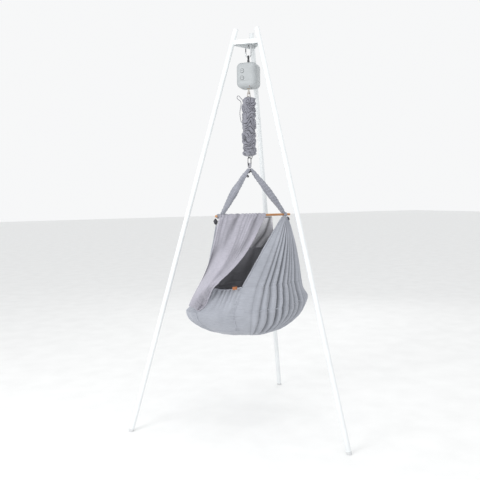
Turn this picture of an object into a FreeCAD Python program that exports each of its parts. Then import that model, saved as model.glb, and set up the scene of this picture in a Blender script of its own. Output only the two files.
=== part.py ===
"""Baby swing: a cradle of cloth that hangs from a spring and a lifting motor under a tripod.

Millimetres, +Z up.  The floor is z = 0 and the origin is the middle of the outline on the floor.
The cradle lies along X: its head end is at -X, its foot end at +X and its open side faces -Y.
The tripod and the motor are drawn about the hanging line and then turned and moved to it.
"""
import FreeCAD, Part
import Mesh
import math
import os

V = FreeCAD.Vector
UP = V(0, 0, 1)
ALONG_X = V(1, 0, 0)
ALONG_Y = V(0, 1, 0)
os.makedirs("parts", exist_ok=True)

# ---------------------------------------------------------------- driving sizes
# tripod
FOOT_CIRCLE_R = 627.0        # hanging line to the middle of each foot
APEX_Z = 2223.5              # where the three leg axes would meet
LEG_TOP_Z = 2000.0
LEG_R = 12.5
LEG_WALL = 1.5
LEG_AZIMUTHS = {"left": 210.0, "right": 330.0, "rear": 90.0}
STAND_TURN = -45.0           # tripod and motor against the cradle
FOOT_PAD = 12.0              # length of rubber below each tube
HUB_TOP_Z = 1946.0
HUB_DEPTH = 21.0
HUB_SHEET = 3.0
HUB_APOTHEM = 50.0
SEAT_CLEAR = 0.15            # leg tube in its half-round seat
BOLT_R = 4.0
BOLT_CLEAR = 0.1
HEX_R = 7.0
INSERT_R = 5.5
WASHER_T = 1.5

# hanging hardware
EYE_RING_R = 10.5
EYE_WIRE_R = 3.0
EYE_DROP = 17.5              # hub top to the middle of the eye
LINK_GAP = 0.3               # between two links that hang in each other
TOP_HOOK = {"length": 56.0, "width": 26.5, "wire": 3.25}
LOW_HOOK = {"length": 40.5, "width": 17.5, "wire": 2.25}
GATE_THIN = 0.65             # gate wire thinner than the hook's
PIN_CLEAR = 0.05
MOTOR_EYE_R = 9.0
MOTOR_EYE_WIRE = 2.75

# motor unit
CASE_SIDE = 106.0
CASE_BOTTOM_Z = 1712.0
CASE_TOP_Z = 1836.0
CASE_CORNER_R = 28.0
CASE_EDGE_R = 24.0
CASE_WALL = 3.0
CASE_SEAM_Z = 1744.0
BUTTON_X = -18.6
BUTTON_ZS = {"upper": 1792.5, "lower": 1757.5}
BUTTON_R = 9.0
BUTTON_PROUD = 2.5
BUTTON_CLEAR = 0.4
BUTTON_TRAVEL = 1.2
POST_PLACES = [(-27.0, 27.0), (-27.0, -27.0), (27.0, -27.0)]
POST_R = 4.5
SCREW_R = 1.5
INLET_PLACE = (18.0, -12.0)
INLET_R = 4.5
CHASSIS_HALF_X = 30.0
CHASSIS_Y = 7.5
CHASSIS_T = 3.0
GEAR_MODULE = 1.0
GEAR_TEETH = 18
GEAR_WIDTH = 10.0
BACKLASH = 0.2
PINION_Z = 1775.0
RACK_HALF = 4.0
RACK_LOW_Z = 1746.0
RACK_HIGH_Z = 1812.0
ROD_R = 4.0
RUN_CLEAR = 0.05             # rod in its bush, swivel on its rod
LIFT_TRAVEL = 20.0
GEARBOX_R = 18.0
GEARBOX_LEN = 15.0
CAN_R = 13.0
CAN_LEN = 24.0
BOARD_Y = -38.0
LEAD_HOLE = (-21.0, 1746.0)      # X and Z of the hole in the chassis for the leads
SWITCH_H = 3.5

# swivel, spring and cover
SWIVEL_TOP_Z = 1697.0
SWIVEL_BOTTOM_Z = 1669.0
SWIVEL_T = 4.0
RING_R = 8.0
RING_WIRE = 1.75
COIL_R = 14.0
COIL_WIRE = 1.75
COIL_TOP_Z = 1644.0
COIL_BOTTOM_Z = 1404.0
COIL_TURNS = 24
PLUG_LEN = 12.0
PLUG_CLEAR = 0.25
LOW_LOOP_R = 9.0
LOW_LOOP_WIRE = 2.0
LOW_LOOP_Z = 1362.0          # middle of the wire at the bottom of the spring's lower loop
COVER_TOP_Z = 1669.0
COVER_BOTTOM_Z = 1375.0
COVER_R = 32.0
COVER_BORE_R = 21.5
CORD_R = 1.6
WINDING_R = 18.4
WINDING_STEPS = 12
SAFETY_TURNS = 2.5
DRAW_R = 1.7

# straps, bar and cradle
BAR_R = 6.0
BAR_Z = 1071.0
BAR_LEFT_X = -198.0
BAR_RIGHT_X = 242.0
KNOT_R = 12.5
KNOT_Z = 1045.0
HEAD_KNOT_X = -197.0
FOOT_KNOT_X = 229.0
STRAP_LOOP_R = 9.0
STRAP_LOOP_FAT = 5.0
STRAP_W = 28.0
STRAP_T = 9.0
STRAP_BOW = 2.5
HEAD_STRAP_X = -160.0
FOOT_STRAP_X = 203.0
CLOTH_T = 4.0
LINER_T = 3.0
LAYER_GAP = 0.6
STATIONS = 48
SHOULDER = {"mid_x": 12.0, "half_x": 280.0, "half_y": 145.0, "bend": 1.25, "z": 725.0}
RIM = {"mid_x": -13.5, "half_x": 346.5, "half_y": 160.0, "bend": 1.2, "z": 624.0}
RIM_RISE = 12.0              # foot end higher, head end lower
RIM_SAG = 20.0
HEM_SAG = 12.0
HULL_BOTTOM_Z = 455.0
HULL_MID_X = -15.0
MATTRESS_TOP_Z = 508.0
FAN_ROWS = 5
HULL_ROWS = 7
FAN_START = 22.0
BACK_TOP_RIGHT = 130.0
BACK_TOP_LEFT = -168.0
BACK_TOP_Y = 5.0
CANOPY_LEFT_X = -180.0
CANOPY_RIGHT_X = 88.0
CANOPY_T = 2.5
POUCH_FROM, POUCH_TO = 27, 33      # stations of the open front
BACK_FROM, BACK_TO = 6, 21         # stations of the back panel

# values that follow
LEG_TILT = math.atan(FOOT_CIRCLE_R / APEX_Z)
LEG_SLOPE = FOOT_CIRCLE_R / APEX_Z
HUB_MID_Z = HUB_TOP_Z - HUB_DEPTH / 2
EYE_Z = HUB_TOP_Z - EYE_DROP
TOP_HOOK_Z = EYE_Z - EYE_RING_R + EYE_WIRE_R + TOP_HOOK["wire"] + LINK_GAP
MOTOR_PIVOT_Z = TOP_HOOK_Z - TOP_HOOK["length"] + TOP_HOOK["wire"] + MOTOR_EYE_WIRE + LINK_GAP
LOW_HOOK_Z = LOW_LOOP_Z + LOW_LOOP_WIRE + LOW_HOOK["wire"] + LINK_GAP
STRAP_PIVOT_Z = LOW_HOOK_Z - LOW_HOOK["length"]
PITCH_R = GEAR_MODULE * GEAR_TEETH / 2
PINION_X = RACK_HALF + PITCH_R
PAD_FACE = LEG_R + SEAT_CLEAR + HUB_SHEET + 2.5    # flat pad for the washer, from the leg axis
CHASSIS_TOP_Z = CASE_TOP_Z - CASE_WALL
RING_MID_Z = SWIVEL_BOTTOM_Z + 5 + LINK_GAP + RING_WIRE - RING_R
STRAP_START_Z = STRAP_PIVOT_Z - 2 * STRAP_LOOP_R - 1.5


def foot_reach(azimuth_deg):
    """Half width along X of a foot's flat oval, for a leg at this azimuth."""
    a = math.radians(azimuth_deg)
    return math.hypot(LEG_R / math.cos(LEG_TILT) * math.cos(a), LEG_R * math.sin(a))


def hanging_offset():
    """X (and Y) of the hanging line, so that the outline on the floor is centred."""
    spans = []
    for azimuth in LEG_AZIMUTHS.values():
        turned = azimuth + STAND_TURN
        mid = FOOT_CIRCLE_R * math.cos(math.radians(turned))
        spans.append((mid - foot_reach(turned), mid + foot_reach(turned)))
    return -(min(s[0] for s in spans) + max(s[1] for s in spans)) / 2


LINE_XY = hanging_offset()


# ---------------------------------------------------------------- helpers
def save(name, shape):
    shape.exportStep("parts/%s.step" % name)
    print("%-24s solids %d  volume %.1f cm3  valid %s"
          % (name, len(shape.Solids), shape.Volume / 1000, shape.isValid()))


def save_stand(name, shape):
    """Turn a piece of the tripod or the motor to its place and save it."""
    placed = shape.copy()
    placed.rotate(V(0, 0, 0), UP, STAND_TURN)
    placed.translate(V(LINE_XY, LINE_XY, 0))
    save(name, placed)


def save_cradle(name, shape):
    placed = shape.copy()
    placed.translate(V(LINE_XY, LINE_XY, 0))
    save(name, placed)


def rod(radius, start, end):
    return Part.makeCylinder(radius, (end - start).Length, start, end - start)


def box(x0, x1, y0, y1, z0, z1):
    return Part.makeBox(x1 - x0, y1 - y0, z1 - z0, V(x0, y0, z0))


def hexagon(across_r, height, base, direction):
    """A hexagonal prism whose corners are at across_r."""
    corners = []
    for k in range(7):
        a = math.radians(60 * k)
        corners.append(V(across_r * math.cos(a), across_r * math.sin(a), 0))
    prism = Part.Face(Part.makePolygon(corners)).extrude(V(0, 0, height))
    turn = FreeCAD.Rotation(UP, direction)
    prism.Placement = FreeCAD.Placement(base, turn)
    return prism


def compound(shapes):
    return Part.makeCompound(shapes)


def swept(edges, radius):
    """A round bar along joined edges, starting square to the first."""
    path = Part.Wire(edges)
    first = edges[0]
    start = first.valueAt(first.FirstParameter)
    ahead = first.tangentAt(first.FirstParameter)
    ring = Part.Wire(Part.Circle(start, ahead, radius).toShape())
    return path.makePipeShell([ring], True, False)


def rounded_route(points, label):
    """Straight runs joined by tangent arcs, each arc as large as its two runs allow."""
    edges = []
    radii = []
    last = points[0]
    for before, at, after in zip(points, points[1:], points[2:]):
        back = before - at
        on = after - at
        half_turn = (math.pi - back.getAngle(on)) / 2
        cut = 0.45 * min(back.Length, on.Length)
        radius = cut / math.tan(half_turn)
        radii.append(radius)
        back.normalize()
        on.normalize()
        enter = at + back * cut
        leave = at + on * cut
        inward = back + on
        inward.normalize()
        centre = at + inward * math.hypot(radius, cut)
        towards = at - centre
        towards.normalize()
        middle = centre + towards * radius
        edges.append(Part.LineSegment(last, enter).toShape())
        edges.append(Part.Arc(enter, middle, leave).toShape())
        last = leave
    edges.append(Part.LineSegment(last, points[-1]).toShape())
    print("%s radii %s" % (label, " ".join("%.0f" % r for r in radii)))
    return edges


def cord_solid(points, radius, label):
    edges = rounded_route(points, label)
    solid = swept(edges, radius)
    length = sum(e.Length for e in edges)
    ratio = solid.Volume / (math.pi * radius ** 2 * length)
    print("%s length %.0f mm, volume over section times length %.4f" % (label, length, ratio))
    return solid


# ---------------------------------------------------------------- tripod
def leg_frame(shape, azimuth):
    """Lean a piece drawn about +Z with its base at the foot, then turn it to its leg."""
    placed = shape.copy()
    placed.rotate(V(0, 0, 0), ALONG_Y, -math.degrees(LEG_TILT))
    placed.translate(V(FOOT_CIRCLE_R, 0, 0))
    placed.rotate(V(0, 0, 0), UP, azimuth)
    return placed


def along_leg(z):
    return z / math.cos(LEG_TILT)


def leg_point(z, azimuth=0.0):
    radial = FOOT_CIRCLE_R - LEG_SLOPE * z
    a = math.radians(azimuth)
    return V(radial * math.cos(a), radial * math.sin(a), z)


def insert_cylinder(radius, near, far):
    """A cylinder square to the leg at the hub; near and far count inwards from its axis."""
    inward = V(-math.cos(LEG_TILT), 0, -math.sin(LEG_TILT))
    at = leg_point(HUB_MID_Z)
    return rod(radius, at + inward * near, at + inward * far)


def leg_tube(azimuth):
    top = along_leg(LEG_TOP_Z)
    tube = Part.makeCylinder(LEG_R, top - FOOT_PAD, V(0, 0, FOOT_PAD))
    bore = Part.makeCylinder(LEG_R - LEG_WALL, top - FOOT_PAD, V(0, 0, FOOT_PAD))
    tube = leg_frame(tube.cut(bore), 0)
    tube = tube.cut(insert_cylinder(INSERT_R, 2.0, LEG_R + 2))
    tube.rotate(V(0, 0, 0), UP, azimuth)
    return tube


def foot(azimuth):
    pad = Part.makeCylinder(LEG_R, FOOT_PAD + 10, V(0, 0, -10))
    plug = Part.makeCylinder(LEG_R - LEG_WALL, 30, V(0, 0, FOOT_PAD))
    shape = leg_frame(pad.fuse(plug), 0)
    reach = FOOT_CIRCLE_R + 60
    below = box(0, reach, -60, 60, -60, 0)
    shape = shape.cut(below)
    shape.rotate(V(0, 0, 0), UP, azimuth)
    return shape


def top_cap(azimuth):
    top = along_leg(LEG_TOP_Z)
    cap = Part.makeCylinder(LEG_R, 3.5, V(0, 0, top))
    cap = cap.makeFillet(2.0, [cap.Edges[0]])
    plug = Part.makeCylinder(LEG_R - LEG_WALL, 20, V(0, 0, top - 20))
    return leg_frame(cap.fuse(plug), azimuth)


def triangle_prism(apothem, z0, z1):
    corners = []
    for azimuth in (210, 330, 90, 210):
        a = math.radians(azimuth)
        corners.append(V(2 * apothem * math.cos(a), 2 * apothem * math.sin(a), z0))
    return Part.Face(Part.makePolygon(corners)).extrude(V(0, 0, z1 - z0))


def beyond_leg(azimuth, start):
    """Everything further out than the leg's axis plus start, leaning with the leg."""
    block = box(start, start + 80, -80, 80, -120, 120)
    block.rotate(V(0, 0, 0), ALONG_Y, -math.degrees(LEG_TILT))
    block.translate(leg_point(HUB_MID_Z))
    block.rotate(V(0, 0, 0), UP, azimuth)
    return block


def around_leg(radius, azimuth):
    length = along_leg(HUB_DEPTH) + 120
    middle = along_leg(HUB_MID_Z)
    return leg_frame(Part.makeCylinder(radius, length, V(0, 0, middle - length / 2)), azimuth)


def hub_plate():
    low = HUB_TOP_Z - HUB_DEPTH
    shape = triangle_prism(HUB_APOTHEM, low, HUB_TOP_Z)
    pocket = triangle_prism(HUB_APOTHEM - HUB_SHEET, low - 1, HUB_TOP_Z - HUB_SHEET)
    for azimuth in LEG_AZIMUTHS.values():
        pocket = pocket.cut(around_leg(LEG_R + SEAT_CLEAR + HUB_SHEET, azimuth))
        pocket = pocket.cut(beyond_leg(azimuth, -HUB_SHEET))
        shape = shape.cut(beyond_leg(azimuth, 0))
    shape = shape.cut(pocket)
    for azimuth in LEG_AZIMUTHS.values():
        pad = insert_cylinder(8.5, LEG_R, PAD_FACE)
        pad = pad.common(box(0, 200, -20, 20, low, HUB_TOP_Z))
        pad.rotate(V(0, 0, 0), UP, azimuth)
        shape = shape.fuse(pad)
    for azimuth in LEG_AZIMUTHS.values():
        shape = shape.cut(around_leg(LEG_R + SEAT_CLEAR, azimuth))
        hole = insert_cylinder(BOLT_R + BOLT_CLEAR, LEG_R - 3, PAD_FACE + 3)
        hole.rotate(V(0, 0, 0), UP, azimuth)
        shape = shape.cut(hole)
    shape = shape.cut(rod(BOLT_R + BOLT_CLEAR, V(0, 0, low), V(0, 0, HUB_TOP_Z + 1)))
    return shape.removeSplitter()


def around_legs(shape):
    """One copy of a piece at each leg, as one group."""
    copies = []
    for azimuth in LEG_AZIMUTHS.values():
        copy = shape.copy()
        copy.rotate(V(0, 0, 0), UP, azimuth)
        copies.append(copy)
    return compound(copies)


def hub_bolt():
    inward = V(-math.cos(LEG_TILT), 0, -math.sin(LEG_TILT))
    head_at = leg_point(HUB_MID_Z) + inward * (PAD_FACE + WASHER_T)
    head = hexagon(HEX_R, 5.0, head_at, inward)
    shank = insert_cylinder(BOLT_R, 1.0, PAD_FACE + WASHER_T + 1)
    return head.fuse(shank)


def hub_washer():
    disc = insert_cylinder(8.0, PAD_FACE, PAD_FACE + WASHER_T)
    return disc.cut(insert_cylinder(BOLT_R + BOLT_CLEAR, PAD_FACE - 1, PAD_FACE + 3))


def leg_insert():
    sleeve = insert_cylinder(INSERT_R, 2.5, LEG_R - 1.7)
    return sleeve.cut(insert_cylinder(BOLT_R + RUN_CLEAR, 0, LEG_R + 2))


def eye_bolt():
    ring = Part.makeTorus(EYE_RING_R, EYE_WIRE_R, V(0, 0, EYE_Z), ALONG_X)
    shank = rod(BOLT_R, V(0, 0, EYE_Z + EYE_RING_R), V(0, 0, HUB_TOP_Z + 10))
    collar = rod(7.0, V(0, 0, EYE_Z + EYE_RING_R + 1), V(0, 0, HUB_TOP_Z - HUB_SHEET))
    return ring.fuse(shank).fuse(collar)


def eye_nut():
    nut = hexagon(HEX_R, 6.5, V(0, 0, HUB_TOP_Z + WASHER_T), UP)
    return nut.cut(rod(BOLT_R, V(0, 0, HUB_TOP_Z), V(0, 0, HUB_TOP_Z + 20)))


def eye_washer():
    disc = rod(9.0, V(0, 0, HUB_TOP_Z), V(0, 0, HUB_TOP_Z + WASHER_T))
    return disc.cut(rod(BOLT_R + BOLT_CLEAR, V(0, 0, HUB_TOP_Z - 1), V(0, 0, HUB_TOP_Z + 3)))


# ---------------------------------------------------------------- spring hooks with gates
def gate_span(hook):
    """Heights of the gate's pivot and of its nose, below the top wire's middle."""
    straight_top = -hook["width"] / 2
    straight_low = -(hook["length"] - hook["width"] / 2)
    return straight_low + 2.2 * hook["wire"], straight_top - 0.3 * hook["wire"]


def hook_body(hook):
    """A closed loop of wire in the XZ plane, open where its gate sits at -X."""
    half = hook["width"] / 2
    wire = hook["wire"]
    pivot_z, nose_z = gate_span(hook)
    low = -(hook["length"] - half)
    path = [
        Part.LineSegment(V(-half, 0, nose_z + 0.4), V(-half, 0, -half)).toShape(),
        Part.Arc(V(-half, 0, -half), V(0, 0, 0), V(half, 0, -half)).toShape(),
        Part.LineSegment(V(half, 0, -half), V(half, 0, low)).toShape(),
        Part.Arc(V(half, 0, low), V(0, 0, low - half), V(-half, 0, low)).toShape(),
        Part.LineSegment(V(-half, 0, low), V(-half, 0, pivot_z + wire)).toShape(),
    ]
    body = swept(path, wire)
    slot_half = 0.55 * wire + 0.15
    slot = box(-half - 2 * wire, -half + 2 * wire, -slot_half, slot_half,
               pivot_z - 1.15 * wire, pivot_z + 3 * wire)
    body = body.cut(slot)
    pin_hole = rod(0.3 * wire, V(-half, -2 * wire, pivot_z), V(-half, 2 * wire, pivot_z))
    return body.cut(pin_hole)


def hook_gate(hook):
    half = hook["width"] / 2
    wire = hook["wire"]
    pivot_z, nose_z = gate_span(hook)
    thin = 0.55 * wire
    bar_r = wire - GATE_THIN
    start = pivot_z + wire + 0.9
    bar = rod(bar_r, V(-half, 0, start), V(-half, 0, nose_z - 0.1))
    eye = rod(bar_r, V(-half, -thin, pivot_z), V(-half, thin, pivot_z))
    neck = box(-half - bar_r, -half + bar_r, -thin, thin, pivot_z, start + 0.5)
    gate = bar.fuse(eye).fuse(neck)
    hole = rod(0.3 * wire + PIN_CLEAR, V(-half, -2 * wire, pivot_z), V(-half, 2 * wire, pivot_z))
    return gate.cut(hole)


def hook_pin(hook):
    half = hook["width"] / 2
    wire = hook["wire"]
    pivot_z = gate_span(hook)[0]
    reach = 0.93 * wire
    return rod(0.3 * wire, V(-half, -reach, pivot_z), V(-half, reach, pivot_z))


def at_height(shape, z):
    placed = shape.copy()
    placed.translate(V(0, 0, z))
    return placed


# ---------------------------------------------------------------- motor unit
def rounded_block(inset):
    """The case's outer form, or the same form smaller by inset all round."""
    half = CASE_SIDE / 2 - inset
    low = CASE_BOTTOM_Z + inset
    high = CASE_TOP_Z - inset
    block = box(-half, half, -half, half, low, high)
    upright = [e for e in block.Edges if abs(e.tangentAt(e.FirstParameter).z) > 0.9]
    block = block.makeFillet(CASE_CORNER_R - inset, upright)
    ends = [e for e in block.Edges
            if abs(e.BoundBox.ZMax - e.BoundBox.ZMin) < 0.01]
    return block.makeFillet(CASE_EDGE_R - inset, ends)


def case_halves():
    wall = rounded_block(0).cut(rounded_block(CASE_WALL))
    big = CASE_SIDE
    above = box(-big, big, -big, big, CASE_SEAM_Z + 0.3, CASE_TOP_Z + 10)
    below = box(-big, big, -big, big, CASE_BOTTOM_Z - 10, CASE_SEAM_Z)
    return wall.common(above), wall.common(below)


def case_cover(upper):
    inside = rounded_block(CASE_WALL)
    shape = upper
    for x, y in POST_PLACES:
        post = rod(POST_R, V(x, y, CASE_SEAM_Z + 0.3), V(x, y, CASE_TOP_Z - 1)).common(
            inside.fuse(upper))
        shape = shape.fuse(post)
    for x, y in POST_PLACES:
        shape = shape.cut(rod(SCREW_R, V(x, y, CASE_SEAM_Z - 1), V(x, y, CASE_SEAM_Z + 22)))
    for z in BUTTON_ZS.values():
        hole = rod(BUTTON_R + BUTTON_CLEAR, V(BUTTON_X, -CASE_SIDE, z), V(BUTTON_X, -40, z))
        shape = shape.cut(hole)
    return shape.cut(rod(BOLT_R + BOLT_CLEAR, V(0, 0, CASE_TOP_Z - 10), V(0, 0, CASE_TOP_Z + 5)))


def case_base(lower):
    inside = rounded_block(CASE_WALL)
    shape = lower
    for x, y in POST_PLACES:
        post = rod(POST_R, V(x, y, CASE_BOTTOM_Z + 1), V(x, y, CASE_SEAM_Z)).common(
            inside.fuse(lower))
        shape = shape.fuse(post)
    for x, y in POST_PLACES:
        shape = shape.cut(rod(SCREW_R + 0.2, V(x, y, CASE_BOTTOM_Z - 1), V(x, y, CASE_SEAM_Z + 1)))
        shape = shape.cut(rod(3.4, V(x, y, CASE_BOTTOM_Z - 1), V(x, y, CASE_BOTTOM_Z + 2)))
    shape = shape.cut(rod(7.0, V(0, 0, CASE_BOTTOM_Z - 1), V(0, 0, CASE_BOTTOM_Z + 10)))
    x, y = INLET_PLACE
    return shape.cut(rod(INLET_R, V(x, y, CASE_BOTTOM_Z - 1), V(x, y, CASE_BOTTOM_Z + 10)))


def case_screws():
    screws = []
    for x, y in POST_PLACES:
        head = rod(3.0, V(x, y, CASE_BOTTOM_Z + 0.2), V(x, y, CASE_BOTTOM_Z + 2))
        shank = rod(SCREW_R, V(x, y, CASE_BOTTOM_Z + 2), V(x, y, CASE_SEAM_Z + 20))
        screws.append(head.fuse(shank))
    return compound(screws)


def motor_eye():
    ring_z = MOTOR_PIVOT_Z - MOTOR_EYE_R
    ring = Part.makeTorus(MOTOR_EYE_R, MOTOR_EYE_WIRE, V(0, 0, ring_z), ALONG_X)
    low = ring_z - MOTOR_EYE_R
    neck = Part.makeCone(7.0, 5.0, low - CASE_TOP_Z, V(0, 0, CASE_TOP_Z))
    stem = rod(BOLT_R, V(0, 0, low - 1), V(0, 0, CASE_TOP_Z - CASE_WALL - CHASSIS_T - 8))
    return ring.fuse(neck).fuse(stem)


def motor_eye_nut():
    top = CHASSIS_TOP_Z - CHASSIS_T
    nut = hexagon(HEX_R, 6.5, V(0, 0, top - 6.5), UP)
    return nut.cut(rod(BOLT_R, V(0, 0, top - 10), V(0, 0, top + 1)))


def chassis():
    """A bent steel plate: the top leg hangs from the eye, the upright leg carries the drive."""
    half = CHASSIS_HALF_X
    top = box(-half + 5, half - 5, -18, CHASSIS_Y + CHASSIS_T, CHASSIS_TOP_Z - CHASSIS_T, CHASSIS_TOP_Z)
    upright = box(-half, half, CHASSIS_Y, CHASSIS_Y + CHASSIS_T, 1735, CHASSIS_TOP_Z)
    shape = top.fuse(upright).common(rounded_block(CASE_WALL + 0.3).fuse(
        box(-half, half, -25, 25, 1735, CHASSIS_TOP_Z)))
    shape = shape.cut(rod(BOLT_R + BOLT_CLEAR, V(0, 0, CHASSIS_TOP_Z - 5), V(0, 0, CHASSIS_TOP_Z + 1)))
    shaft_hole = rod(5.0, V(PINION_X, 0, PINION_Z), V(PINION_X, 20, PINION_Z))
    shape = shape.cut(shaft_hole)
    shape = shape.cut(rod(5.0, V(LEAD_HOLE[0], 0, LEAD_HOLE[1]), V(LEAD_HOLE[0], 20, LEAD_HOLE[1])))
    for x, z in gearbox_screw_places():
        shape = shape.cut(rod(SCREW_R + 0.1, V(x, 0, z), V(x, 20, z)))
    return shape


def gearbox_screw_places():
    return [(PINION_X, PINION_Z + 13.0), (PINION_X, PINION_Z - 13.0)]


def gear_motor():
    y0 = CHASSIS_Y + CHASSIS_T
    box_part = rod(GEARBOX_R, V(PINION_X, y0, PINION_Z), V(PINION_X, y0 + GEARBOX_LEN, PINION_Z))
    can_end = y0 + GEARBOX_LEN + CAN_LEN
    can = rod(CAN_R, V(PINION_X, y0 + GEARBOX_LEN, PINION_Z), V(PINION_X, can_end, PINION_Z))
    shape = box_part.fuse(can)
    shape = shape.cut(rod(3.0 + RUN_CLEAR, V(PINION_X, y0 - 1, PINION_Z), V(PINION_X, y0 + 10, PINION_Z)))
    for x, z in gearbox_screw_places():
        shape = shape.cut(rod(SCREW_R, V(x, y0 - 1, z), V(x, y0 + 6, z)))
    return shape


def gearbox_screws():
    screws = []
    for x, z in gearbox_screw_places():
        head = rod(3.0, V(x, CHASSIS_Y - 1.8, z), V(x, CHASSIS_Y, z))
        shank = rod(SCREW_R, V(x, CHASSIS_Y, z), V(x, CHASSIS_Y + CHASSIS_T + 5.5, z))
        screws.append(head.fuse(shank))
    return compound(screws)


def involute(angle):
    return math.tan(angle) - angle


def pinion():
    """Spur pinion on the gear motor's shaft; one tooth points at the rack."""
    pressure = math.radians(20)
    base_r = PITCH_R * math.cos(pressure)
    root_r = PITCH_R - 1.25 * GEAR_MODULE
    tip_r = PITCH_R + GEAR_MODULE
    half_pitch = math.pi / (2 * GEAR_TEETH) - BACKLASH / (4 * PITCH_R)
    flank = [(root_r, half_pitch + involute(pressure))]
    for k in range(6):
        r = base_r + (tip_r - base_r) * k / 5
        at = math.acos(min(1.0, base_r / r))
        flank.append((r, half_pitch + involute(pressure) - involute(at)))
    corners = []
    for tooth in range(GEAR_TEETH):
        mid = math.pi + 2 * math.pi * tooth / GEAR_TEETH
        for r, a in flank:
            corners.append((r, mid - a))
        for r, a in reversed(flank):
            corners.append((r, mid + a))
    y0 = -GEAR_WIDTH / 2
    points = []
    for r, a in corners:
        points.append(V(PINION_X + r * math.cos(a), y0, PINION_Z + r * math.sin(a)))
    points.append(points[0])
    wheel = Part.Face(Part.makePolygon(points)).extrude(V(0, GEAR_WIDTH, 0))
    shaft_end = CHASSIS_Y + CHASSIS_T + 9
    shaft = rod(3.0, V(PINION_X, y0 - 2, PINION_Z), V(PINION_X, shaft_end, PINION_Z))
    return wheel, shaft


def rack():
    pitch = math.pi * GEAR_MODULE
    slope = math.tan(math.radians(20))
    half_tip = pitch / 4 - BACKLASH / 4 - slope * GEAR_MODULE
    half_root = pitch / 4 - BACKLASH / 4 + slope * 1.25 * GEAR_MODULE
    tip_x = RACK_HALF + GEAR_MODULE
    root_x = RACK_HALF - 1.25 * GEAR_MODULE
    shape = box(-RACK_HALF, root_x, -RACK_HALF, RACK_HALF, RACK_LOW_Z, RACK_HIGH_Z)
    count = int((RACK_HIGH_Z - RACK_LOW_Z) / pitch) + 2
    start = -count
    for k in range(start, count):
        z = PINION_Z + (k + 0.5) * pitch
        if z - half_root < RACK_LOW_Z or z + half_root > RACK_HIGH_Z:
            continue
        corners = [
            V(root_x, -RACK_HALF, z - half_root),
            V(tip_x, -RACK_HALF, z - half_tip),
            V(tip_x, -RACK_HALF, z + half_tip),
            V(root_x, -RACK_HALF, z + half_root),
            V(root_x, -RACK_HALF, z - half_root),
        ]
        shape = shape.fuse(Part.Face(Part.makePolygon(corners)).extrude(V(0, 2 * RACK_HALF, 0)))
    spigot_hole = rod(2.0, V(-0.6, 0, RACK_LOW_Z - 1), V(-0.6, 0, RACK_LOW_Z + 8))
    return shape.cut(spigot_hole).removeSplitter()


def lift_rod():
    low = SWIVEL_BOTTOM_Z + 15.0
    shank = rod(ROD_R, V(0, 0, low + 2), V(0, 0, RACK_LOW_Z))
    head = rod(5.0, V(0, 0, low), V(0, 0, low + 4))
    spigot = rod(2.0, V(-0.6, 0, RACK_LOW_Z - 1), V(-0.6, 0, RACK_LOW_Z + 7.5))
    return shank.fuse(head).fuse(spigot)


def rack_guide():
    gap = 0.2
    z0 = PINION_Z - 9
    z1 = PINION_Z + 9
    back = box(-RACK_HALF - 5, -RACK_HALF - gap, -RACK_HALF - 1.9, CHASSIS_Y, z0, z1)
    front = box(-RACK_HALF - 5, 1.0, -RACK_HALF - 1.9, -RACK_HALF - gap, z0, z1)
    rear = box(-RACK_HALF - 5, 1.0, RACK_HALF + gap, CHASSIS_Y, z0, z1)
    return back.fuse(front).fuse(rear).removeSplitter()


def lift_bush():
    body = rod(7.0, V(0, 0, CASE_BOTTOM_Z - 1.5), V(0, 0, CASE_BOTTOM_Z + 6))
    flange = rod(9.5, V(0, 0, CASE_BOTTOM_Z + CASE_WALL), V(0, 0, CASE_BOTTOM_Z + CASE_WALL + 2))
    return body.fuse(flange).cut(rod(ROD_R + RUN_CLEAR, V(0, 0, CASE_BOTTOM_Z - 5), V(0, 0, CASE_BOTTOM_Z + 20)))


def circuit_board():
    board = box(-34, 34, BOARD_Y, BOARD_Y + 1.6, CASE_SEAM_Z + 2, 1812)
    chip = box(4, 18, BOARD_Y + 1.6, BOARD_Y + 3.6, 1770, 1784)
    terminal = box(-6, 4, BOARD_Y + 1.6, BOARD_Y + 9, 1752, 1760)
    return board.fuse(chip).fuse(terminal)


def switches():
    parts = []
    for z in BUTTON_ZS.values():
        parts.append(box(BUTTON_X - 3, BUTTON_X + 3, BOARD_Y - SWITCH_H, BOARD_Y, z - 3, z + 3))
    return compound(parts)


def button(z):
    face = -CASE_SIDE / 2
    cap = rod(BUTTON_R, V(BUTTON_X, face - BUTTON_PROUD, z), V(BUTTON_X, face + 1.5, z))
    rim = cap.Edges[0] if cap.Edges[0].BoundBox.YMax < face - 1 else cap.Edges[2]
    cap = cap.makeFillet(1.0, [rim])
    flange = rod(BUTTON_R + 1.6, V(BUTTON_X, face + CASE_WALL + 0.9, z),
                 V(BUTTON_X, face + CASE_WALL + 2.1, z))
    core = rod(BUTTON_R - 1.5, V(BUTTON_X, face + 1, z), V(BUTTON_X, face + CASE_WALL + 1.5, z))
    stem_end = BOARD_Y - SWITCH_H - BUTTON_TRAVEL - 0.3
    stem = rod(2.2, V(BUTTON_X, face + CASE_WALL, z), V(BUTTON_X, stem_end, z))
    return cap.fuse(core).fuse(flange).fuse(stem)


def power_socket():
    x, y = INLET_PLACE
    body = rod(INLET_R, V(x, y, CASE_BOTTOM_Z - 0.8), V(x, y, CASE_BOTTOM_Z + 12))
    flange = rod(INLET_R + 1.5, V(x, y, CASE_BOTTOM_Z + CASE_WALL), V(x, y, CASE_BOTTOM_Z + 5))
    bore = rod(2.8, V(x, y, CASE_BOTTOM_Z - 2), V(x, y, CASE_BOTTOM_Z + 9))
    pin = rod(0.9, V(x, y, CASE_BOTTOM_Z + 0.5), V(x, y, CASE_BOTTOM_Z + 9.5))
    return body.fuse(flange).cut(bore).fuse(pin)


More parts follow.
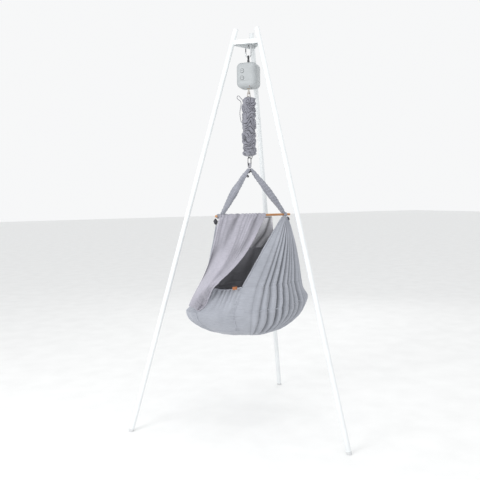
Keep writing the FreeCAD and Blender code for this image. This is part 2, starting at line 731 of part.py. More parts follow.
def motor_leads():
    """Two insulated wires from the board's terminal, over the chassis edge, to the motor."""
    leads = []
    for k, x in enumerate((-4.0, 2.0)):
        hole_x = LEAD_HOLE[0] - 2.0 + 4.0 * k
        points = [
            V(x, BOARD_Y + 9.0, 1756), V(x, BOARD_Y + 14.5, 1755.5), V(x - 4, BOARD_Y + 21, 1751),
            V(hole_x + 3, -7, LEAD_HOLE[1] + 1), V(hole_x, 3, LEAD_HOLE[1]), V(hole_x, 14, LEAD_HOLE[1]),
            V(hole_x + 3, 22, LEAD_HOLE[1] + 3), V(hole_x + 9, 29, 1756 + 2 * k),
            V(-6, 34, 1764 + 4 * k), V(PINION_X - CAN_R - 0.3, 36, 1771 + 6 * k),
        ]
        leads.append(cord_solid(points, 0.9, "motor lead"))
    return compound(leads)


# ---------------------------------------------------------------- swivel, spring and cover
def swivel_eye():
    """A triangular eye that turns on the rod's head, with a bar at its foot for the ring."""
    half_t = SWIVEL_T / 2
    low = SWIVEL_BOTTOM_Z
    outer = [V(-10.5, -half_t, low), V(10.5, -half_t, low), V(7.0, -half_t, low + 24),
             V(-7.0, -half_t, low + 24), V(-10.5, -half_t, low)]
    plate = Part.Face(Part.makePolygon(outer)).extrude(V(0, SWIVEL_T, 0))
    inner = [V(-7.4, -half_t - 1, low + 5), V(7.4, -half_t - 1, low + 5), V(5.4, -half_t - 1, low + 19.4),
             V(-5.4, -half_t - 1, low + 19.4), V(-7.4, -half_t - 1, low + 5)]
    window = Part.Face(Part.makePolygon(inner)).extrude(V(0, SWIVEL_T + 2, 0))
    boss = rod(7.2, V(0, 0, low + 19.4), V(0, 0, SWIVEL_TOP_Z))
    boss = boss.common(Part.makeSphere(8.2, V(0, 0, low + 23.5)))
    shape = plate.cut(window).fuse(boss)
    return shape.cut(rod(ROD_R + RUN_CLEAR, V(0, 0, low + 18), V(0, 0, SWIVEL_TOP_Z + 1)))


def spring_ring():
    return Part.makeTorus(RING_R, RING_WIRE, V(0, 0, RING_MID_Z), ALONG_X)


def spring_top_plug():
    """A plug that the coil grips, with a loop that hangs on the ring."""
    wire_z = RING_MID_Z - RING_R + RING_WIRE + COIL_WIRE + LINK_GAP
    loop_r = 7.0
    loop = Part.makeTorus(loop_r, COIL_WIRE, V(0, 0, wire_z - loop_r), ALONG_Y)
    plug = rod(COIL_R - COIL_WIRE - PLUG_CLEAR, V(0, 0, wire_z - 2 * loop_r + 1),
               V(0, 0, COIL_TOP_Z - PLUG_LEN))
    return loop.fuse(plug)


def spring_bottom_plug():
    top = COIL_BOTTOM_Z + PLUG_LEN
    loop_z = LOW_LOOP_Z + LOW_LOOP_R
    loop = Part.makeTorus(LOW_LOOP_R, LOW_LOOP_WIRE, V(0, 0, loop_z), ALONG_X)
    neck = rod(3.5, V(0, 0, loop_z + LOW_LOOP_R), V(0, 0, COIL_BOTTOM_Z + 2))
    plug = rod(COIL_R - COIL_WIRE - PLUG_CLEAR, V(0, 0, COIL_BOTTOM_Z - 6), V(0, 0, top))
    return loop.fuse(neck).fuse(plug)


def spring_coil():
    height = COIL_TOP_Z - COIL_BOTTOM_Z
    helix = Part.makeHelix(height / COIL_TURNS, height, COIL_R)
    helix.translate(V(0, 0, COIL_BOTTOM_Z))
    wire = Part.Wire(helix.Edges)
    rise = height / COIL_TURNS / (2 * math.pi)
    ring = Part.Wire(Part.Circle(V(COIL_R, 0, COIL_BOTTOM_Z), V(0, COIL_R, rise), COIL_WIRE).toShape())
    return wire.makePipeShell([ring], True, True)


def spring_cover():
    sleeve = rod(COVER_R, V(0, 0, COVER_BOTTOM_Z), V(0, 0, COVER_TOP_Z))
    return sleeve.cut(rod(COVER_BORE_R, V(0, 0, COVER_BOTTOM_Z - 1), V(0, 0, COVER_TOP_Z + 1)))


def safety_cord():
    """Slack line wound loosely about the spring, from the ring to the lower hook's side."""
    points = [V(-1.0, 12.2, 1668), V(-5.5, 13.5, 1659), V(-11.0, 13.5, 1650)]
    steps = int(WINDING_STEPS * SAFETY_TURNS)
    z_from = 1640.0
    z_to = 1398.0
    first = 140.0
    for k in range(steps + 1):
        a = math.radians(first + 360.0 / WINDING_STEPS * k)
        z = z_from + (z_to - z_from) * k / steps
        points.append(V(WINDING_R * math.cos(a), WINDING_R * math.sin(a), z))
    points += [V(15.5, -8.0, 1387), V(14.8, -4.0, 1373), V(13.0, 0, 1358)]
    return points


def drawstring_points():
    """A bow loop and a hanging tail at the cover's top; left is seen from the front."""
    left = V(-0.88, 0.474, 0)
    front = V(-0.474, -0.88, 0)
    route = [
        (34.5, 3, 1658), (40, 6, 1663), (46, 7, 1671), (53, 6, 1677), (59, 3, 1673), (60, 1, 1665),
        (55, 0, 1659), (48, -1, 1655), (42, -2.5, 1650), (39, -2, 1641), (40, 0, 1629), (43, 1, 1614),
        (46, 0, 1597), (46, -1, 1579), (43, 0, 1561), (40, 1, 1545),
    ]
    return [left * out + front * fore + UP * z for out, fore, z in route]


# ---------------------------------------------------------------- straps and bar
def spreader_bar():
    bar = rod(BAR_R, V(BAR_LEFT_X, 0, BAR_Z), V(BAR_RIGHT_X, 0, BAR_Z))
    ends = [e for e in bar.Edges if e.BoundBox.XLength < 0.01]
    return bar.makeFillet(2.0, ends)


def bar_knot(x):
    """Gathered cloth tied under the bar, with the turn that goes over it."""
    ball = Part.makeSphere(KNOT_R, V(x, 0, KNOT_Z))
    turn = Part.makeTorus(BAR_R + 4.0, 3.4, V(x, 0, BAR_Z), ALONG_X)
    neck = rod(5.0, V(x, 0, KNOT_Z + KNOT_R - 2), V(x, 0, BAR_Z - BAR_R - 1))
    return ball.fuse(turn).fuse(neck)


def strap_loop():
    """The doubled cloth that goes round the lower hook's wire."""
    centre_z = STRAP_PIVOT_Z + LOW_HOOK["wire"] + LINK_GAP - (STRAP_LOOP_R - STRAP_LOOP_FAT)
    return Part.makeTorus(STRAP_LOOP_R, STRAP_LOOP_FAT, V(0, 0, centre_z), ALONG_X)


def strap(bar_x):
    """A flat puffy band from the loop to the top of the bar, bowed a little outwards."""
    side = math.copysign(1, bar_x)
    start = V(side * 7.0, 0, STRAP_START_Z)
    end = V(bar_x, 0, BAR_Z + BAR_R + 10.0)
    verts = []
    tris = []
    rows = 10
    for i in range(rows + 1):
        s = i / rows
        mid = start + (end - start) * s
        bow = 4 * s * (1 - s) * STRAP_BOW
        mid = mid + V(side * bow * 0.8, 0, bow * 0.6)
        half = STRAP_W / 2 * (0.45 + 0.55 * math.sin(math.pi * min(1.0, 0.12 + 0.8 * s)))
        for k in (-1, 0, 1):
            verts.append(mid + V(0, k * half, 0))
    for i in range(rows):
        for k in range(2):
            a = 3 * i + k
            quad = (a, a + 1, a + 4, a + 3)
            tris += split_quad(quad, side > 0)
    return thick_sheet(verts, tris, STRAP_T, centred=True)


def split_quad(quad, flip=False):
    a, b, c, d = quad
    if flip:
        return [(a, b, c), (a, c, d)]
    return [(a, c, b), (a, d, c)]


# ---------------------------------------------------------------- cloth
def sheet_normals(verts, tris):
    """Mean direction of the faces about each point."""
    normals = [V(0, 0, 0) for _ in verts]
    for a, b, c in tris:
        n = (verts[b] - verts[a]).cross(verts[c] - verts[a])
        for k in (a, b, c):
            normals[k] = normals[k] + n
    for n in normals:
        if n.Length > 0:
            n.normalize()
    return normals


def thick_sheet(verts, tris, thickness, normals=None, depth=0.0, centred=False):
    """A closed solid between a sheet of triangles and the same sheet moved inwards."""
    if normals is None:
        normals = sheet_normals(verts, tris)
    used = sorted({k for t in tris for k in t})
    start = depth - (thickness / 2 if centred else 0.0)
    outer = {k: verts[k] - normals[k] * start for k in used}
    inner = {k: verts[k] - normals[k] * (start + thickness) for k in used}
    facets = []
    count = {}
    for a, b, c in tris:
        facets.append([outer[a], outer[b], outer[c]])
        facets.append([inner[a], inner[c], inner[b]])
        for edge in ((a, b), (b, c), (c, a)):
            count[edge] = count.get(edge, 0) + 1
    for a, b in count:
        if (b, a) in count:
            continue
        if a < b:
            facets.append([outer[b], outer[a], inner[b]])
            facets.append([outer[a], inner[a], inner[b]])
        else:
            facets.append([outer[b], outer[a], inner[a]])
            facets.append([outer[b], inner[a], inner[b]])
    return solid_of(facets)


def solid_of(facets):
    mesh = Mesh.Mesh([[tuple(p) for p in f] for f in facets])
    shape = Part.Shape()
    shape.makeShapeFromMesh(mesh.Topology, 0.001)
    solid = Part.makeSolid(shape)
    if solid.Volume < 0:
        solid.reverse()
    return solid


def oval_point(oval, angle, z):
    s = math.sin(angle)
    x = oval["mid_x"] + oval["half_x"] * math.cos(angle)
    y = oval["half_y"] * math.copysign(abs(s) ** oval["bend"], s)
    return V(x, y, z)


def station_angle(j):
    return 2 * math.pi * j / STATIONS


def shoulder_point(j):
    """Where the fans of cloth meet the tub; over the open front this is the gathered hem."""
    z = SHOULDER["z"]
    if POUCH_FROM <= j % STATIONS <= POUCH_TO:
        along = (j % STATIONS - POUCH_FROM) / (POUCH_TO - POUCH_FROM)
        z -= HEM_SAG * math.sin(math.pi * along)
    return oval_point(SHOULDER, station_angle(j), z)


def rim_point(j):
    a = station_angle(j)
    return oval_point(RIM, a, RIM["z"] + RIM_RISE * math.cos(a) - RIM_SAG * math.sin(a) ** 2)


def hull_point(j, bend):
    """A point of the boat-shaped bottom, bend 0 at the rim and 90 degrees at the lowest."""
    rim = rim_point(j)
    c = math.cos(bend)
    return V(HULL_MID_X + (rim.x - HULL_MID_X) * c, rim.y * c,
             rim.z - (rim.z - HULL_BOTTOM_Z) * math.sin(bend))


class Sling:
    """All panels of the sling as one sheet of triangles, so that they share their seams."""

    def __init__(self):
        self.verts = []
        self.panels = {}
        self.grow()
        tris = [t for group in self.panels.values() for t in group]
        self.normals = sheet_normals(self.verts, tris)

    def row(self, points):
        first = len(self.verts)
        self.verts += points
        return list(range(first, first + len(points)))

    def add(self, panel, upper, lower):
        """Triangles between two rows of points that run the same way."""
        group = self.panels.setdefault(panel, [])
        for k in range(len(upper) - 1):
            quad = (upper[k], upper[k + 1], lower[k + 1], lower[k])
            group += split_quad(quad)

    def grow(self):
        ring = self.row([shoulder_point(j) for j in range(STATIONS)])
        mid = []
        for j in range(STATIONS):
            a = shoulder_point(j)
            b = rim_point(j)
            mid.append((a + b) * 0.5 + V(0, 0, 4))
        rows = [ring, self.row(mid), self.row([rim_point(j) for j in range(STATIONS)])]
        for i in range(1, HULL_ROWS):
            bend = math.radians(86 * i / (HULL_ROWS - 1))
            rows.append(self.row([hull_point(j, bend) for j in range(STATIONS)]))
        self.ring = ring
        self.tub_rows = rows
        pole = self.row([V(HULL_MID_X, 0, HULL_BOTTOM_Z)])[0]
        for i, (upper, lower) in enumerate(zip(rows, rows[1:])):
            for j in range(STATIONS):
                here = j
                there = (j + 1) % STATIONS
                inside = POUCH_FROM <= j < POUCH_TO and i < 4
                name = "pouch_panel" if inside else "tub_panel"
                self.add(name, [upper[here], upper[there]], [lower[here], lower[there]])
        group = self.panels["tub_panel"]
        for j in range(STATIONS):
            group.append((rows[-1][j], pole, rows[-1][(j + 1) % STATIONS]))
        foot = V(FOOT_KNOT_X, 0, KNOT_Z)
        head = V(HEAD_KNOT_X, 0, KNOT_Z)
        self.fan("foot_panel", foot, range(POUCH_TO, STATIONS + BACK_FROM + 1))
        self.fan("head_panel", head, range(BACK_TO, POUCH_FROM + 1))
        self.back(range(BACK_FROM, BACK_TO + 1))

    def fan(self, panel, knot, stations):
        """Straight folds of cloth from a knot down to the shoulder."""
        stations = list(stations)
        rows = []
        for i in range(FAN_ROWS):
            points = []
            for j in stations:
                low = shoulder_point(j)
                way = low - knot
                share = FAN_START / way.Length
                s = share + (1 - share) * i / FAN_ROWS
                points.append(knot + way * s)
            rows.append(self.row(points))
        rows.append([self.ring[j % STATIONS] for j in stations])
        for upper, lower in zip(rows, rows[1:]):
            self.add(panel, upper, lower)

    def back(self, stations):
        """The back wall, from its edge under the bar down to the shoulder."""
        stations = list(stations)
        top_z = BAR_Z - BAR_R - 2.0
        rows = []
        for i in range(FAN_ROWS):
            points = []
            for n, j in enumerate(stations):
                across = n / (len(stations) - 1)
                top = V(BACK_TOP_RIGHT + (BACK_TOP_LEFT - BACK_TOP_RIGHT) * across, BACK_TOP_Y, top_z)
                low = shoulder_point(j)
                points.append(top + (low - top) * (i / FAN_ROWS))
            rows.append(self.row(points))
        rows.append([self.ring[j] for j in stations])
        for upper, lower in zip(rows, rows[1:]):
            self.add("back_panel", upper, lower)

    def solid(self, panel, thickness=CLOTH_T, depth=0.0):
        return thick_sheet(self.verts, self.panels[panel], thickness, self.normals, depth)

    def liner(self):
        """The charcoal lining inside the tub, one layer in from the cloth."""
        tris = self.panels["tub_panel"] + self.panels["pouch_panel"]
        lowered = list(self.verts)
        for k in self.ring:
            lowered[k] = self.verts[k] + V(0, 0, -14)
        return thick_sheet(lowered, tris, LINER_T, self.normals, CLOTH_T + LAYER_GAP)


def mattress():
    """A soft pad in the bottom of the tub: flat on top, boat-shaped below."""
    inset = CLOTH_T + LINER_T + LAYER_GAP + 4.0
    rows = []
    bends = [52, 62, 72, 81, 88]
    for bend in bends:
        ring = []
        for j in range(STATIONS):
            p = hull_point(j, math.radians(bend))
            out = V(p.x - HULL_MID_X, p.y, 0)
            shrink = inset * 0.9
            out.normalize()
            ring.append(V(p.x, p.y, p.z) - out * shrink + V(0, 0, inset * 0.85))
        rows.append(ring)
    rows = [r for r in rows if r[12].z < MATTRESS_TOP_Z - 4]
    top_ring = [V(p.x * 0.985, p.y * 0.97, MATTRESS_TOP_Z) for p in rows[0]]
    centre_top = V(HULL_MID_X, 0, MATTRESS_TOP_Z)
    lowest = min(p.z for p in rows[-1])
    centre_low = V(HULL_MID_X, 0, lowest)
    facets = []
    rings = [top_ring] + rows
    for j in range(STATIONS):
        n = (j + 1) % STATIONS
        facets.append([centre_top, top_ring[j], top_ring[n]])
        for upper, lower in zip(rings, rings[1:]):
            facets.append([upper[j], lower[j], lower[n]])
            facets.append([upper[j], lower[n], upper[n]])
        facets.append([centre_low, rows[-1][n], rows[-1][j]])
    return solid_of(facets)


def bezier(points, t):
    while len(points) > 1:
        points = [a + (b - a) * t for a, b in zip(points, points[1:])]
    return points[0]


def canopy():
    """A sheet thrown over the bar, its front swept down to the head end as a diagonal flap."""
    over = BAR_R + 1.2 + CANOPY_T
    columns = 12
    rows = 14
    head_edge = [V(CANOPY_LEFT_X, -over, BAR_Z), V(-232, -34, 965), V(-232, -46, 800), V(-336, -62, 752),
                 V(-374, -52, 645)]
    hem = [V(CANOPY_RIGHT_X, -over, BAR_Z), V(-28, -58, 947), V(-83, -120, 822), V(-322, -205, 775),
           V(-360, -82, 645)]
    verts = []
    wrap_rows = 5
    for i in range(wrap_rows):
        a = math.radians(-20 + 200.0 * i / wrap_rows)
        for k in range(columns + 1):
            x = CANOPY_LEFT_X + (CANOPY_RIGHT_X - CANOPY_LEFT_X) * k / columns
            verts.append(V(x, over * math.cos(a), BAR_Z + over * math.sin(a)))
    for i in range(rows + 1):
        t = i / rows
        left = bezier(head_edge, t)
        right = bezier(hem, t)
        for k in range(columns + 1):
            u = k / columns
            p = left + (right - left) * u
            belly = 22.0 * math.sin(math.pi * u) * math.sin(math.pi * t)
            verts.append(p + V(-0.35 * belly, -belly, 0))
    tris = []
    total = wrap_rows + rows
    step = columns + 1
    for i in range(total):
        for k in range(columns):
            a = i * step + k
            tris += split_quad((a, a + 1, a + step + 1, a + step), True)
    return thick_sheet(verts, tris, CANOPY_T)


def label_tag():
    at = shoulder_point(31)
    side = shoulder_point(32) - shoulder_point(30)
    side.z = 0
    side.normalize()
    out = side.cross(UP)
    if out.y > 0:
        out = out * -1
    base = at + out * 5.5 - UP * 12
    corners = [base - side * 13, base + side * 13, base + side * 13 + UP * 15,
               base - side * 13 + UP * 15, base - side * 13]
    return Part.Face(Part.makePolygon(corners)).extrude(out * 1.8)


def strap_knots():
    """Small dark knots where the hanging loop's ends are tied to the head strap."""
    knots = []
    for x, z, r in ((-30.0, 1312.0, 6.0), (-44.0, 1284.0, 6.5)):
        knots.append(Part.makeTorus(r - 2.2, 2.2, V(x, -15.5, z), V(0.3, -1, 0.2)))
    return compound(knots)


# ---------------------------------------------------------------- build
def build_stand():
    for name, azimuth in LEG_AZIMUTHS.items():
        save_stand("leg_%s" % name, leg_tube(azimuth))
    save_stand("feet", compound([foot(a) for a in LEG_AZIMUTHS.values()]))
    save_stand("leg_top_caps", compound([top_cap(a) for a in LEG_AZIMUTHS.values()]))
    save_stand("hub_plate", hub_plate())
    save_stand("hub_bolts", around_legs(hub_bolt()))
    save_stand("hub_washers", compound(around_legs(hub_washer()).Solids + [eye_washer()]))
    save_stand("leg_inserts", around_legs(leg_insert()))
    save_stand("eye_bolt", eye_bolt())
    save_stand("eye_nut", eye_nut())


def build_top_hook():
    save_stand("top_hook", at_height(hook_body(TOP_HOOK), TOP_HOOK_Z))
    save_stand("top_hook_pin", at_height(hook_pin(TOP_HOOK), TOP_HOOK_Z))
    save_stand("top_gate", at_height(hook_gate(TOP_HOOK), TOP_HOOK_Z))


def build_motor():
    upper, lower = case_halves()
    save_stand("motor_eye", motor_eye())
    save_stand("motor_eye_nut", motor_eye_nut())
    save_stand("motor_cover", case_cover(upper))
    save_stand("motor_base", case_base(lower))
    save_stand("case_screws", case_screws())
    save_stand("chassis", chassis())
    save_stand("gear_motor", gear_motor())
    save_stand("gearbox_screws", gearbox_screws())
    save_stand("rack_guide", rack_guide())
    save_stand("lift_bush", lift_bush())
    save_stand("circuit_board", circuit_board())
    save_stand("button_switches", switches())
    save_stand("power_socket", power_socket())
    save_stand("motor_leads", motor_leads())
    for name, z in BUTTON_ZS.items():
        save_stand("button_%s" % name, button(z))
    wheel, shaft = pinion()
    save_stand("drive_pinion", wheel.cut(shaft))
    save_stand("pinion_shaft", shaft)
    save_stand("lift_rack", rack())
    save_stand("lift_rod", lift_rod())


def build_spring():
    save_cradle("swivel_eye", swivel_eye())
    save_cradle("spring_ring", spring_ring())
    save_cradle("spring_top_plug", spring_top_plug())
    save_cradle("spring_bottom_plug", spring_bottom_plug())
    save_cradle("spring_coil", spring_coil())
    save_cradle("spring_cover", spring_cover())
    save_cradle("safety_cord", cord_solid(safety_cord(), CORD_R, "safety cord"))
    save_cradle("drawstring", cord_solid(drawstring_points(), DRAW_R, "drawstring"))


def build_cradle():
    save_cradle("low_hook", at_height(hook_body(LOW_HOOK), LOW_HOOK_Z))
    save_cradle("low_hook_pin", at_height(hook_pin(LOW_HOOK), LOW_HOOK_Z))
    save_cradle("low_gate", at_height(hook_gate(LOW_HOOK), LOW_HOOK_Z))
    save_cradle("strap_loop", strap_loop())
    save_cradle("head_strap", strap(HEAD_STRAP_X))
    save_cradle("foot_strap", strap(FOOT_STRAP_X))
    save_cradle("strap_knots", strap_knots())
    save_cradle("spreader_bar", spreader_bar())
    save_cradle("bar_knots", compound([bar_knot(HEAD_KNOT_X), bar_knot(FOOT_KNOT_X)]))
    sling = Sling()
    for panel in ("tub_panel", "pouch_panel", "foot_panel", "head_panel", "back_panel"):
        save_cradle(panel, sling.solid(panel))
    save_cradle("liner", sling.liner())
    save_cradle("mattress", mattress())
    save_cradle("canopy", canopy())
    save_cradle("label_tag", label_tag())


build_stand()
build_top_hook()
build_motor()
build_spring()
build_cradle()
print("hanging line at x = y = %.3f" % LINE_XY)
print("top hook z %.3f, motor pivot z %.3f, low hook z %.3f, strap pivot z %.3f"
      % (TOP_HOOK_Z, MOTOR_PIVOT_Z, LOW_HOOK_Z, STRAP_PIVOT_Z))
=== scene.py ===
# %% [markdown]
# A baby swing: a cloth cradle that hangs from two padded straps, a soft spring and a
# small lifting motor, under a white tripod.  The hard parts come packed from CAD and
# keep their shape; everything sewn, tied or gathered is made here.

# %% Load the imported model
import bpy
import math
from mathutils import Matrix, Vector, noise


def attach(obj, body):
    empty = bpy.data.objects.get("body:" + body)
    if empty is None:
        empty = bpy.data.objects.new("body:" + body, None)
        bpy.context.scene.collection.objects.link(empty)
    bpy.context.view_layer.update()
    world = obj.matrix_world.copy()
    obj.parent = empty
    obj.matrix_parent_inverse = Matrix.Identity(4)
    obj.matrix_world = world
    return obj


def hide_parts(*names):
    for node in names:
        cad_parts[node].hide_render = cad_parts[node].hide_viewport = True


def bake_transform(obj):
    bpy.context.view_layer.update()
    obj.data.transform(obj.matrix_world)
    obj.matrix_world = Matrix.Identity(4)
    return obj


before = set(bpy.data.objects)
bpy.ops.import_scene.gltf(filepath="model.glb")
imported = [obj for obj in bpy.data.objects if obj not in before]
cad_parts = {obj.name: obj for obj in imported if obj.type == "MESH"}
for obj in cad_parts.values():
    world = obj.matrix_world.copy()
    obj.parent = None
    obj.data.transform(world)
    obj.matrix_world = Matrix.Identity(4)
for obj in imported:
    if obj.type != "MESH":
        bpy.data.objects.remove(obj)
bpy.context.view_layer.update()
LINE = Vector((0.081244, 0.081244, 0.0))     # the vertical line that everything hangs on

# %% [markdown]
# The camera stands about level with the wooden bar, in front and to its left, as a
# person would look at it across a room.  The lens is a little longer than normal, so
# that the three legs converge gently.

# %% Camera
bpy.ops.object.select_all(action="DESELECT")
bpy.ops.object.camera_add()
camera = bpy.context.object
RIGHT = Vector((0.88026, -0.47435, -0.01197))
UPWARD = Vector((0.04440, 0.05723, 0.99737))
AHEAD = Vector((0.47242, 0.87847, -0.07144))
turn = Matrix((RIGHT, UPWARD, -AHEAD)).transposed()
camera.matrix_world = Matrix.Translation((-1.4807, -2.7110, 1.1740)) @ turn.to_4x4()
camera.data.lens = 46.73
camera.data.sensor_width = 36.0
bpy.context.scene.camera = camera
print("camera", tuple(camera.location))

# %% [markdown]
# Two loose cords hang on the real thing.  The drawstring closes the top of the spring's
# sleeve and ends in a bow with a tail.  The dark safety cord is wound loosely round the
# spring, inside the sleeve, and ties the ring to the lower hook.  Each could be a chain
# of cylinders, but a cord is one smooth bend after another, so each is a NURBS curve
# with a round bevel.

# %% Cords
CORD_RADIUS = 0.0016
WINDING_RADIUS = 0.0184


def round_cord(name, points, radius):
    """A round cord, as a mesh, and the smooth line it follows, led by the points."""
    data = bpy.data.curves.new(name, "CURVE")
    data.dimensions = "3D"
    line = data.splines.new("NURBS")
    line.points.add(len(points) - 1)
    for knot, p in zip(line.points, points):
        knot.co = (p[0] + LINE.x, p[1] + LINE.y, p[2], 1.0)
    line.order_u = 3
    line.use_endpoint_u = True
    line.resolution_u = 6
    cord = bpy.data.objects.new(name, data)
    bpy.context.collection.objects.link(cord)
    bpy.context.view_layer.update()
    bare = bpy.data.meshes.new_from_object(cord)
    path = [tuple(v.co) for v in bare.vertices]
    data.bevel_depth = radius
    data.bevel_resolution = 3
    data.use_fill_caps = True
    bpy.ops.object.select_all(action="DESELECT")
    cord.select_set(True)
    bpy.context.view_layer.objects.active = cord
    bpy.ops.object.convert(target="MESH")
    bpy.ops.object.shade_smooth()
    print("made cord", name, "with", len(points), "points")
    return bpy.context.object, path


SIDE = Vector((-0.88, 0.474, 0.0))           # left, as seen from the front
FRONT = Vector((-0.474, -0.88, 0.0))
bow_route = [
    (34.5, 3, 1658), (40, 6, 1663), (46, 7, 1671), (53, 6, 1677), (59, 3, 1673), (60, 1, 1665),
    (55, 0, 1659), (48, -1, 1655), (42, -2.5, 1650), (39, -2, 1641), (40, 0, 1629), (43, 1, 1614),
    (46, 0, 1597), (46, -1, 1579), (43, 0, 1561), (40, 1, 1545),
]
bow_points = [(SIDE * out + FRONT * fore) / 1000 + Vector((0, 0, z / 1000)) for out, fore, z in bow_route]
drawstring, bow_path = round_cord("drawstring_bow", bow_points, 0.0017)
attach(drawstring, "swivel")
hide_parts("drawstring")

STEPS_A_TURN = 12
WINDING_TURNS = 2.5
winding = [Vector(p) for p in ((-0.0010, 0.0122, 1.668), (-0.0055, 0.0135, 1.659), (-0.0110, 0.0135, 1.650))]
count = int(STEPS_A_TURN * WINDING_TURNS)
for k in range(count + 1):
    a = math.radians(140.0 + 360.0 / STEPS_A_TURN * k)
    height = 1.640 + (1.398 - 1.640) * k / count
    winding.append(Vector((WINDING_RADIUS * math.cos(a), WINDING_RADIUS * math.sin(a), height)))
winding += [Vector((0.0155, -0.0080, 1.387)), Vector((0.0148, -0.0040, 1.373)), Vector((0.0130, 0.0, 1.358))]
safety_line, winding_path = round_cord("safety_line", winding, CORD_RADIUS)
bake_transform(safety_line)
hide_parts("safety_cord")

# %% [markdown]
# Materials.  Every finish is worked out from object positions or from a sheet's own UV
# map, whose units are metres of cloth, so that a thread is the same size everywhere.
# A few small helpers keep the node trees short.


# %% Material helpers
def linear(r, g, b):
    """A colour given as it looks on a screen, turned into light."""
    shares = [c / 255 for c in (r, g, b)]
    return tuple(((c + 0.055) / 1.055) ** 2.4 if c > 0.04 else c / 12.92 for c in shares) + (1.0,)


def dimmed(colour, share):
    return tuple(c * share for c in colour[:3]) + (1.0,)


class Finish:
    """A material being built: its tree, its shader and short ways to add nodes."""

    def __init__(self, name, colour, rough, metal=0.0):
        self.material = bpy.data.materials.new(name)
        self.material.use_nodes = True
        self.nodes = self.material.node_tree.nodes
        self.links = self.material.node_tree.links
        self.shader = self.nodes["Principled BSDF"]
        self.shader.inputs["Base Color"].default_value = colour
        self.shader.inputs["Roughness"].default_value = rough
        self.shader.inputs["Metallic"].default_value = metal
        self.height = None
        self.coords = self.nodes.new("ShaderNodeTexCoord")

    def place(self, source="Object", scale=(1, 1, 1), turn=(0, 0, 0)):
        mapping = self.nodes.new("ShaderNodeMapping")
        mapping.inputs["Scale"].default_value = scale
        mapping.inputs["Rotation"].default_value = turn
        self.links.new(self.coords.outputs[source], mapping.inputs["Vector"])
        return mapping.outputs[0]

    def noise(self, scale, detail=3.0, where=None):
        node = self.nodes.new("ShaderNodeTexNoise")
        node.inputs["Scale"].default_value = scale
        node.inputs["Detail"].default_value = detail
        self.links.new(where or self.coords.outputs["Object"], node.inputs["Vector"])
        return node.outputs["Fac"]

    def bands(self, scale, direction, where, wobble=0.0):
        node = self.nodes.new("ShaderNodeTexWave")
        node.bands_direction = direction
        node.inputs["Scale"].default_value = scale
        node.inputs["Distortion"].default_value = wobble
        self.links.new(where, node.inputs["Vector"])
        return node.outputs["Fac"]

    def maths(self, kind, a, b):
        node = self.nodes.new("ShaderNodeMath")
        node.operation = kind
        for socket, value in zip(node.inputs, (a, b)):
            if isinstance(value, (int, float)):
                socket.default_value = value
            else:
                self.links.new(value, socket)
        return node.outputs[0]

    def tint(self, fac, low, high, start=0.3, end=0.7):
        ramp = self.nodes.new("ShaderNodeValToRGB")
        ramp.color_ramp.elements[0].position = start
        ramp.color_ramp.elements[0].color = low
        ramp.color_ramp.elements[1].position = end
        ramp.color_ramp.elements[1].color = high
        self.links.new(fac, ramp.inputs["Fac"])
        self.links.new(ramp.outputs[0], self.shader.inputs["Base Color"])

    def paint_shade(self, attribute, shadow):
        """Painted shade: sink the colour towards a shadow tone where the piece's own attribute nears 1."""
        mark = self.nodes.new("ShaderNodeAttribute")
        mark.attribute_name = attribute
        blend = self.nodes.new("ShaderNodeMix")
        blend.data_type = "RGBA"
        base = self.shader.inputs["Base Color"]
        self.links.new(mark.outputs["Fac"], blend.inputs[0])
        self.links.new(base.links[0].from_socket, blend.inputs[6])
        blend.inputs[7].default_value = shadow
        self.links.new(blend.outputs[2], base)

    def roughen(self, fac, low, high):
        node = self.nodes.new("ShaderNodeMapRange")
        node.inputs["To Min"].default_value = low
        node.inputs["To Max"].default_value = high
        self.links.new(fac, node.inputs["Value"])
        self.links.new(node.outputs[0], self.shader.inputs["Roughness"])

    def bump(self, fac, strength, distance):
        node = self.nodes.new("ShaderNodeBump")
        node.inputs["Strength"].default_value = strength
        node.inputs["Distance"].default_value = distance
        self.links.new(fac, node.inputs["Height"])
        if self.height:
            self.links.new(self.height, node.inputs["Normal"])
        self.height = node.outputs[0]
        self.links.new(self.height, self.shader.inputs["Normal"])


def cloth(name, dark, light, thread=0.0008, sheen=0.25, fuzz=0.35):
    """Plain-woven cotton: crossing threads, slight slubs, soft sheen, and painted shade in the creases."""
    f = Finish(name, light, 0.9)
    flat = f.place("UV")
    turns = 0.05 / thread
    warp = f.bands(turns, "X", flat, 0.3)
    weft = f.bands(turns, "Y", flat, 0.3)
    weave = f.maths("MULTIPLY", warp, weft)
    slub = f.noise(90, 4, f.place("UV", (0.25, 3.0, 1.0)))
    stain = f.noise(9, 3)
    shade = f.maths("ADD", f.maths("MULTIPLY", weave, 0.22), f.maths("MULTIPLY", slub, 0.38))
    shade = f.maths("ADD", shade, f.maths("MULTIPLY", stain, 0.30))
    f.tint(shade, dark, light, 0.22, 0.62)
    # Painted shade: the colour sinks to a dark tone where the crease attribute marks a fold.
    f.paint_shade("crease", dimmed(dark, 0.30))
    f.bump(weave, 0.35, 0.0004)
    f.bump(slub, fuzz, 0.0007)
    f.bump(f.noise(55, 4), 0.35, 0.0016)
    f.shader.inputs["Sheen Weight"].default_value = sheen
    f.shader.inputs["Sheen Roughness"].default_value = 0.5
    return f.material


def painted(name, colour, rough=0.3):
    """Powder coat: a very fine orange peel under a low gloss."""
    f = Finish(name, colour, rough)
    peel = f.noise(900, 2)
    f.bump(peel, 0.08, 0.0003)
    worn = f.noise(14, 5)
    f.roughen(worn, rough - 0.06, rough + 0.1)
    f.tint(worn, dimmed(colour, 0.94), colour, 0.3, 0.6)
    return f.material


